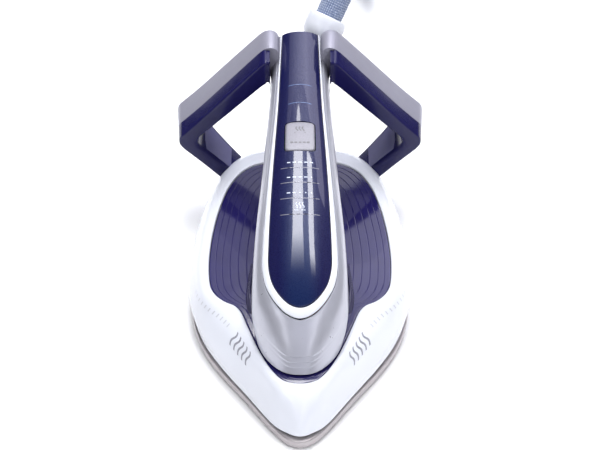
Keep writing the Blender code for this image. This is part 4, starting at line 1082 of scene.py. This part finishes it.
def make_fairings():
    """The low dark ribs beside the foot of the nose column."""
    for side, word in SIDES:
        rings = []
        for i in range(RIB_RINGS + 1):
            x, y, width, height = smooth_at(RIB_STATIONS, 5 * i / RIB_RINGS)
            width, height = max(0.55 * width, 0.15), max(0.75 * height, 0.2)
            low = cover_height(y) - 0.3
            ring = []
            for k in range(RIB_COLUMNS + 1):
                angle = math.pi * k / RIB_COLUMNS
                lean = 1.4 * math.sin(angle) ** 2
                ring.append(vec(side * (x + width * math.cos(angle) - lean), y,
                                low + (height + 0.3) * math.sin(angle) ** 0.7))
            rings.append(ring)
        item = loft(f"column_rib_{word}_fine", rings)
        piece(item, "root", "rib_shell", [f"column_rib_{word}"])


# ---------------------------------------------------------------- handle
def panel_half(section):
    for (s0, x0), (s1, x1) in zip(PANEL_EDGE, PANEL_EDGE[1:]):
        if section <= s1:
            return max(x0 + (x1 - x0) * (section - s0) / (s1 - s0), 13.0 if section > 7.6 else x0)
    return 13.0


BUTTON_GAP = 0.42               # between the button and the panel
PANEL_CROWN = 0.9
PANEL_BEND = 7.2                # section at which the panel's rows begin to turn
PANEL_COLUMNS = 26
EDGE_STEPS = 150                # rows along the panel and its trim
# how the panel's edge rolls down: distance back from the edge, and drop
ROLL = ((0.55, 0.0), (0.30, 0.05), (0.12, 0.18), (0.02, 0.40), (0.0, 0.75), (0.0, 2.0))


def panel_point(section, x, proud=0.0):
    """A point of the top panel, which is crowned between its edges."""
    share = min(x / panel_half(section), 1.0)
    crown = PANEL_CROWN * (1 - share * share) * (1 - ease((section - 6.8) / 2.0))
    return handle_point(section, angle_of(section, x), crown + proud)


def panel_rows():
    rows = []
    for section, x in edge_points(PANEL_EDGE, EDGE_STEPS, -0.15, -0.02):
        # in front of the bend the rows turn, so that they meet the tip's edge squarely
        centre = section if section < PANEL_BEND else PANEL_BEND + (section - PANEL_BEND) * 0.40
        reach = math.dist(panel_point(section, x), panel_point(centre, 0.0)) * 1000
        row = []
        inner = 1 - ROLL[0][0] / reach
        shares = [(k / PANEL_COLUMNS * inner, 0.0) for k in range(PANEL_COLUMNS)]
        shares += [(1 - back / reach, drop) for back, drop in ROLL]
        for share, drop in shares:
            row.append(panel_point(centre + (section - centre) * share, x * share, -0.3 - drop))
        rows.append(row)
    return rows


def make_top_panel():
    """The crowned panel, with a window for the button."""
    item = skin("handle_top_panel_fine", panel_rows(), 0.8)
    outline = button_outline(BUTTON_GAP)
    rings = [[grip_place(x, BUTTON_PLACE + y, above) for x, y in outline] for above in (-8.0, 6.0)]
    cut(item, loft("button_window", rings))
    piece(item, "root", "panel_blue", ["handle_top_panel"])


# the trim across its width: share of the width, and height over the handle
TRIM_SHAPE = ((0.0, -1.4), (0.0, -0.55), (0.02, -0.28), (0.07, -0.05), (0.14, 0.10), (0.26, 0.24),
              (0.4, 0.32), (0.55, 0.33), (0.7, 0.27), (0.82, 0.14), (0.91, -0.02), (0.97, -0.22),
              (1.0, -0.5), (1.0, -1.4))


def make_trim():
    """The white band round the panel."""
    inner = edge_points(PANEL_EDGE, EDGE_STEPS, 0.02, 0.02)
    outer = edge_points(TRIM_EDGE, EDGE_STEPS, -0.10, -0.02)
    rows = []
    for (s0, x0), (s1, x1) in zip(inner, outer):
        rows.append([])
        for part, proud in TRIM_SHAPE:
            section = s0 + (s1 - s0) * part
            x = x0 + (x1 - x0) * part
            rows[-1].append(handle_point(section, angle_of(section, x), proud))
    item = skin("handle_trim_fine", rows, 0.6)
    piece(item, "root", "white_plastic", ["handle_trim"])


# the angle round the handle, and the section at which the steps of the foot begin there
LIP = ((0.0, 11.02), (20.0, 11.0), (28.0, 10.87), (37.0, 10.64), (46.0, 10.42), (55.0, 10.12),
       (64.0, 9.6), (77.0, 8.9), (92.0, 8.5), (130.0, 8.2))
# each step's distance on from there in sections, its depth, and how softly it turns
LIP_STEPS = ((0.0, 0.42, 0.05), (0.30, 0.22, 0.05), (0.58, 0.14, 0.05))


def foot_step(section, angle):
    """Steps that run round the foot of the nose column and up its sides."""
    for (low, first), (high, last) in zip(LIP, LIP[1:]):
        if angle <= high:
            start = first + (last - first) * (angle - low) / (high - low)
            break
    else:
        start = LIP[-1][1]
    drop = 0.0
    for offset, depth, soft in LIP_STEPS:
        drop += depth * ease((section - start - offset) / soft)
    return -drop * ease((section - 8.6) / 0.5)


SHELL_ROWS = 190                # rows in front of the trim's tip
SHELL_COLUMNS = 60
HANDLE_END = 12.0               # the last section, at the cover
GRIP_ROWS = 150
GRIP_COLUMNS = 40
# the shell's edge beside the trim: share of the way round to its face, and drop
SHELL_EDGE = ((0.0, 1.2), (0.0, 0.4), (0.15, 0.1), (0.45, 0.0))


def make_handle_shell():
    """The silver sides and nose column, from the trim down to the grip's edge."""
    rows = []
    starts = edge_points(TRIM_EDGE, EDGE_STEPS, 0.08, 0.03)
    tip = starts[-1][0]
    starts += [(tip + (HANDLE_END - tip) * (k + 1) / SHELL_ROWS, 0.0) for k in range(SHELL_ROWS)]
    for section, x in starts:
        first = angle_of(section, x)
        last = grip_edge(section)
        row = []
        for back, drop in SHELL_EDGE:
            angle = first + back * 4.0 * min(1.0, x / 6.0)
            proud = foot_step(section, angle) - drop * min(1.0, x / 3.0)
            row.append(handle_point(section, angle, proud))
        begin = first + 2.6 * min(1.0, x / 6.0)
        for j in range(SHELL_COLUMNS + 1):
            angle = begin + (last - 0.4 - begin) * j / SHELL_COLUMNS
            row.append(handle_point(section, angle, foot_step(section, angle)))
        row.append(handle_point(section, last, foot_step(section, last)))
        row[-1].x -= mm(0.35)
        rows.append(row)
    item = skin("handle_shell_fine", rows, 1.0)
    piece(item, "root", "silver_plastic", ["handle_shell"])


def make_grip():
    """The dark lower shell of the handle, with the slot for the trigger."""
    rows = []
    for i in range(GRIP_ROWS + 1):
        section = HANDLE_END * i / GRIP_ROWS
        first = grip_edge(section) + 1.2
        row = []
        for j in range(GRIP_COLUMNS + 1):
            row.append(handle_point(section, first + (180.0 - first) * j / GRIP_COLUMNS))
        # its edge draws back a little from the shell's
        row[0].x -= mm(0.7)
        row[1].x -= mm(0.15)
        rows.append(row)
    item = skin("handle_grip_fine", rows, 1.2)
    half = (TRIGGER_WIDTH + 1.2) / 2
    corners = [(-half, -42.0, 3.0), (half, -42.0, 3.0), (half, -4.2, 3.0), (-half, -4.2, 3.0)]
    outline = rounded(corners, 6)
    rings = [[grip_place(x, y, above) for x, y in outline] for above in (-40.0, -21.0)]
    cut(item, loft("trigger_slot", rings))
    piece(item, "root", "dark_grip", ["handle_grip"])


def button_outline(grow):
    """The button's outline in its own plane: across, and along towards the heel."""
    width, length = BUTTON_SIZE
    half_x, half_y = width / 2 + grow, length / 2 + grow
    corners = [(-half_x, -half_y, 2.4), (half_x, -half_y, 2.4)]
    corners += [(half_x - 0.2, half_y - 1.2, 2.6), (0.0, half_y + 0.25, 9.0),
                (-half_x + 0.2, half_y - 1.2, 2.6)]
    return rounded(corners, 8)


# from the button's foot to its face: growth of the outline, and height
BUTTON_EDGE = ((-0.2, -4.6), (0.0, -4.4), (0.0, 0.05), (-0.12, 0.32), (-0.45, 0.52), (-0.95, 0.62))


def make_button():
    """The button: a soft-edged block with a slightly domed face."""
    rings = []
    for grow, above in BUTTON_EDGE:
        rings.append([(x, y, above) for x, y in button_outline(grow)])
    face = rings[-1]
    for share in (0.85, 0.65, 0.4, 0.15):
        rings.append([(x * share, y * share, 0.62 + 0.30 * (1 - share * share)) for x, y, _ in face])
    placed = [[grip_place(x, BUTTON_PLACE + y, above) for x, y, above in ring] for ring in rings]
    item = loft("steam_button_fine", placed)
    piece(item, "button", "button_silver", ["steam_button"])


def make_trigger():
    """The trigger: sections along its length, wider and deeper in the middle."""
    along, above = TRIGGER_PIN
    rings = []
    half = TRIGGER_WIDTH / 2
    for i in range(41):
        place = i / 40
        y = along - 3.2 + 35.0 * place
        low = above - 9.6 + 1.6 * math.sin(math.pi * place) - 1.4 * (1 - ease(place / 0.2))
        high = above - 1.7
        side = half * (0.90 + 0.10 * math.sin(math.pi * min(max(place, 0.05), 0.95)))
        corners = [(-side, high, 1.0), (side, high, 1.0), (side, low + 0.6, 2.2), (0.0, low, 6.0),
                   (-side, low + 0.6, 2.2)]
        rings.append([grip_place(x, y, z) for x, z in rounded(corners, 5)])
    item = loft("steam_trigger_fine", rings)
    piece(item, "trigger", "button_silver", ["steam_trigger"])


# ---------------------------------------------------------------- marks on the panel, button and skirt
LINE_PLACES = (0.9, -9.3, -19.9, -30.2)
LINE_HALF = 10.2
ARC_PLACES = (60.9, 47.4)
ARC_HALF = 6.3
STROKES = 24                    # straight strokes in a line or an arc across the panel
WAVE_STEPS = 10


def section_at(y):
    """The section number whose top line point lies at y, mm."""
    low, high = 0.0, 9.0
    for _ in range(40):
        middle = (low + high) / 2
        if smooth_at(HANDLE_SECTIONS, middle)[0] > y:
            low = middle
        else:
            high = middle
    return (low + high) / 2


def on_panel(x, y, proud):
    point = panel_point(section_at(y), abs(x), proud - 0.3)
    point.x = math.copysign(point.x, x)
    return point


def on_button(x, y, proud):
    return grip_place(x, BUTTON_PLACE + y, 0.82 + proud)


def flat_marks(name, shapes, surface, height, body, slot):
    """Thin raised marks: each shape is a convex outline, laid on a surface."""
    verts, faces = [], []
    for shape in shapes:
        start = len(verts)
        count = len(shape)
        for proud in (-0.25, height):
            verts += [surface(x, y, proud) for x, y in shape]
        faces.append(tuple(start + count - 1 - k for k in range(count)))
        faces.append(tuple(start + count + k for k in range(count)))
        for k in range(count):
            n = (k + 1) % count
            faces.append((start + k, start + n, start + count + n, start + count + k))
    item = mesh_object(name, verts, faces, weld=1e-8)
    settle(item)
    return piece(item, body, slot)


def bar(x0, y0, x1, y1, width):
    """An outline of a straight stroke."""
    size = math.hypot(x1 - x0, y1 - y0)
    nx, ny = -(y1 - y0) / size * width / 2, (x1 - x0) / size * width / 2
    return [(x0 + nx, y0 + ny), (x0 - nx, y0 - ny), (x1 - nx, y1 - ny), (x1 + nx, y1 + ny)]


def line_strokes(points, width):
    return [bar(*a, *b, width) for a, b in zip(points, points[1:])]


def dot(x, y, radius, sides=14):
    """The outline of a round dot."""
    return [(x + radius * math.cos(2 * math.pi * k / sides), y + radius * math.sin(2 * math.pi * k / sides))
            for k in range(sides)]


def wave(x, y, length, swing, width):
    """A short upright wavy stroke, like a curl of steam."""
    points = []
    for k in range(WAVE_STEPS + 1):
        part = k / WAVE_STEPS
        points.append((x + swing * math.sin(2 * math.pi * part), y + length * (part - 0.5)))
    return line_strokes(points, width)


def make_panel_marks():
    """Lines, arcs and plain mode marks on the panel."""
    shapes = []
    for y in LINE_PLACES:
        points = [(LINE_HALF * (2 * k / STROKES - 1), y) for k in range(STROKES + 1)]
        shapes += line_strokes(points, 0.42)
    flat_marks("panel_lines", shapes, on_panel, 0.05, "root", "line_silver")
    shapes = []
    for y in ARC_PLACES:
        points = []
        for k in range(STROKES + 1):
            x = ARC_HALF * (2 * k / STROKES - 1)
            points.append((x, y - 0.8 * (x / ARC_HALF) ** 2))
        shapes += line_strokes(points, 0.35)
    flat_marks("panel_arcs", shapes, on_panel, 0.04, "root", "panel_arc")
    shapes = []
    for cell, count in enumerate((3, 2, 0)):
        y = LINE_PLACES[cell] + 3.6
        for k in range(5):
            x = -6.0 + 3.0 * k
            if k < count + 2:
                shapes += line_strokes([(x - 0.9, y), (x + 0.9, y)], 0.62)
            else:
                shapes.append(dot(x, y, 0.38))
    y = (LINE_PLACES[2] + LINE_PLACES[3]) / 2
    for x in (-1.7, 0.0, 1.7):
        shapes += wave(x, y + 0.4, 4.0, 0.45, 0.42)
    shapes += line_strokes([(-2.8, y - 2.6), (2.8, y - 2.6)], 0.45)
    flat_marks("panel_marks", shapes, on_panel, 0.05, "root", "mark_white")


def make_button_marks():
    """Plain strokes on the button."""
    shapes = []
    for x in (-1.7, 0.0, 1.7):
        shapes += wave(x, 4.4, 4.2, 0.5, 0.62)
    arc = [(3.1 * math.cos(math.radians(200 + 14 * k)), 2.9 + 1.6 * math.sin(math.radians(200 + 14 * k)))
           for k in range(11)]
    shapes += line_strokes(arc, 0.62)
    for k in range(5):
        x = -4.4 + 2.2 * k
        shapes += line_strokes([(x - 0.75, -5.0), (x + 0.75, -5.0)], 1.0)
    flat_marks("button_marks", shapes, on_button, 0.06, "button", "button_mark")


def make_skirt_marks():
    """Plain wave strokes and fainter dashes, in grey, on both sides of the skirt."""
    wide, rim = skirt_lines()
    for side, word in SIDES:
        def surface(x, y, proud):
            point = skirt_point(x, y, wide, rim, proud * 1.4)
            point.x *= side
            return point
        waves = []
        for k in range(5):
            start = 0.162 + 0.016 * k
            points = []
            for i in range(13):
                part = i / 12
                points.append((start + 0.0035 * math.sin(2 * math.pi * part), 0.33 + 0.34 * part))
            waves += upright_strokes(points, 0.0050)
        flat_marks(f"skirt_waves_{word}", waves, surface, 0.06, "root", "mark_grey")
        dashes = []
        for k in range(11):
            start = 0.262 + 0.0135 * k
            dashes += upright_strokes([(start, 0.50 - 0.018 * k), (start, 0.60 - 0.018 * k)], 0.0032)
        flat_marks(f"skirt_dashes_{word}", dashes, surface, 0.05, "root", "mark_faint")


def upright_strokes(points, width):
    """Strokes with a constant width along the skirt."""
    half = width / 2
    return [[(a[0] - half, a[1]), (a[0] + half, a[1]), (b[0] + half, b[1]), (b[0] - half, b[1])]
            for a, b in zip(points, points[1:])]


# ---------------------------------------------------------------- heel ring
HANDLE_SIDE = 16.9              # just outside the handle's widest line at the heel
# the plate's lighter colour is painted reflected light on the lower arm's inner face
INLAY_START = 11.6              # the wing station at which the lighter plate begins
CORNER_ROUNDS = 3               # rounds of corner cutting between the wing stations
STEPS_PER_STATION = 2 ** CORNER_ROUNDS
SHELL_GAP_HALF = 0.1            # half the gap between a wing's two shells


def wing_rings(side, corners_of, nearest=0.0):
    """Rings along a wing; corners_of(number, width, depth) gives the sections at a station."""
    rings = []
    for number, station in enumerate(chaikin(WING_STATIONS, CORNER_ROUNDS)):
        ox, oh, ix, ih, flare, depth = station
        width = math.hypot(ix - ox, ih - oh)
        for corners in corners_of(number, width, depth):
            ring = []
            for across, back in rounded(corners, 4):
                share = across / width
                spread_out = flare * max(back / depth, 0.0) * (1.0 - share)
                x = ox + (ix - ox) * share + spread_out
                h = oh + (ih - oh) * share + spread_out * 0.3
                ring.append(heel_point(side * max(x, nearest), h, back))
            rings.append(ring)
    return rings


def inlay_ring(side, station, low, high, proud):
    """A thin plate's section on the inner face of a wing's lower arm."""
    ox, oh, ix, ih, _, depth = station
    width = math.hypot(ix - ox, ih - oh)
    ux, uh = (ix - ox) / width, (ih - oh) / width
    ring = []
    for across, back in ((-0.4, low), (proud, low + 0.3), (proud, depth - high - 0.3),
                         (-0.4, depth - high)):
        ring.append(heel_point(side * (ix + ux * across), ih + uh * across, back))
    return ring


def make_inlays():
    """The plate on the inner face of each lower arm, lighter in colour to paint the light that face
    reflects.
    """
    for side, word in SIDES:
        rings = []
        for i in range(33):
            place = INLAY_START + 2.3 * i / 32
            rounding = 6.0 * (1 - ease(min((place - INLAY_START) / 0.35, 1.0)))
            station = smooth_at(WING_STATIONS, place)
            rings.append(inlay_ring(side, station, 2.4 + rounding, 2.6 + rounding, 0.3))
        piece(loft(f"heel_inlay_{word}", rings), "root", "inlay_plate")


def make_wings():
    """Each wing is a grey outer shell over a dark inner frame."""
    root = WING_ROOT * STEPS_PER_STATION

    def outer_section(number, width, depth):
        split = HEEL_SPLIT + 0.15
        whole = [(0.0, split, 0.3), (0.0, depth, 4.5), (width, depth, 3.0), (width, split, 0.3)]
        middle = width * 0.5 - SHELL_GAP_HALF
        part = [(0.0, split, 0.3), (0.0, depth, 4.5), (middle, depth, 0.3), (middle, split, 0.2)]
        if number < root:
            return [whole]
        if number == root:
            return [whole, part]
        return [part]

    def inner_section(number, width, depth):
        # next to the handle the frame's front draws back a little
        sunk = 1.6 * (1 - ease((number - root + 4) / 8.0))
        front = 1.5 * (1 - ease((number - root + 8) / 10.0))
        if number < root:
            return [[(sunk, front, 1.3), (sunk, (front + HEEL_SPLIT) / 2, 0.1), (sunk, HEEL_SPLIT, 0.3),
                     (width * 0.75, HEEL_SPLIT, 0.1), (width, HEEL_SPLIT, 0.3), (width, front, 3.0)]]
        middle = width * 0.5 + SHELL_GAP_HALF
        return [[(sunk, front, 1.3), (sunk, HEEL_SPLIT, 0.3), (middle, HEEL_SPLIT, 0.2),
                 (middle, depth, 0.3), (width, depth, 3.0), (width, front, 2.2)]]

    for side, word in SIDES:
        item = loft(f"heel_outer_shell_{word}_fine", wing_rings(side, outer_section))
        piece(item, "root", "grey_shell", [f"heel_outer_shell_{word}"])
        item = loft(f"heel_inner_frame_{word}_fine", wing_rings(side, inner_section, HANDLE_SIDE))
        piece(item, "root", "navy_shell", [f"heel_inner_frame_{word}"])


# ---------------------------------------------------------------- rear housing and cord outlet
# y, lowest and highest z, and half width
HOUSING_STATIONS = (
    (106.8, 86.0, 111.0, 15.8), (110.0, 85.2, 109.2, 15.9), (113.0, 85.0, 106.8, 15.8),
    (116.2, 85.2, 105.0, 15.4), (118.8, 86.2, 103.0, 14.4), (120.4, 87.8, 101.4, 12.8),
    (121.0, 89.6, 99.8, 10.8))
# radius and height of the room for the collar, and of the collar with its roundings
ROOM_SHAPE = ((0.0, 6.0), (12.0, 6.0), (12.0, -12.2), (10.2, -15.6), (9.0, -20.0), (0.0, -20.0))
COLLAR_SHAPE = (
    (9.4, 0.2, 0.5), (11.3, -0.4, 1.2), (11.7, -3.0, 1.0), (11.6, -9.0, 3.0), (9.9, -13.4, 1.5),
    (7.6, -15.6, 0.5), (7.6, -16.6, 0.3), (3.4, -16.6, 0.3), (3.4, -2.6, 0.2), (8.3, -2.6, 0.3),
    (8.3, -0.4, 0.5))
HOUSING_POINTS = 72
HOUSING_POWER = 3.0             # 2 is an ellipse, more is squarer


def housing_ring(y, low, high, half_width):
    power = HOUSING_POWER
    ring = []
    for i in range(HOUSING_POINTS):
        angle = 2 * math.pi * i / HOUSING_POINTS
        c, s = math.cos(angle), math.sin(angle)
        x = math.copysign(abs(s) ** (2 / power), s) * half_width
        z = (low + high) / 2 + math.copysign(abs(c) ** (2 / power), c) * (high - low) / 2
        ring.append(vec(x, y, z))
    return ring


def make_rear_housing():
    """The rear housing, with a round room for the collar."""
    rings = [housing_ring(*smooth_at(HOUSING_STATIONS, 6 * i / 36)) for i in range(37)]
    housing = loft("rear_housing_fine", rings)
    cut(housing, turned("collar_room", ROOM_SHAPE, collar_place(0.0), COLLAR_AXIS))
    piece(housing, "root", "white_plastic", ["rear_housing"])


def make_collar():
    """The strain relief that the hose leaves through."""
    item = turned("cord_collar_fine", rounded(COLLAR_SHAPE), collar_place(0.0), COLLAR_AXIS)
    piece(item, "cord_swivel", "white_plastic", ["cord_collar"])


# ---------------------------------------------------------------- CAD nodes that stay
def finish_nodes():
    """Every CAD node that still shows gets its slot's look."""
    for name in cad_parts:
        item = bpy.data.objects.get(name)
        if item is None or item.hide_render:
            continue
        for holder in item.material_slots:
            holder.material = MATERIALS[holder.material.name.split(".")[0]]


def main():
    for make in (make_camera, make_materials, make_hose_end, make_hose, make_world, make_lights,
                 make_floor, make_soleplate, make_skirt, make_cover, make_fairings, make_top_panel,
                 make_trim, make_handle_shell, make_grip, make_button, make_trigger,
                 make_panel_marks, make_button_marks, make_skirt_marks, make_wings, make_inlays,
                 make_rear_housing, make_collar, finish_nodes):
        make()


main()
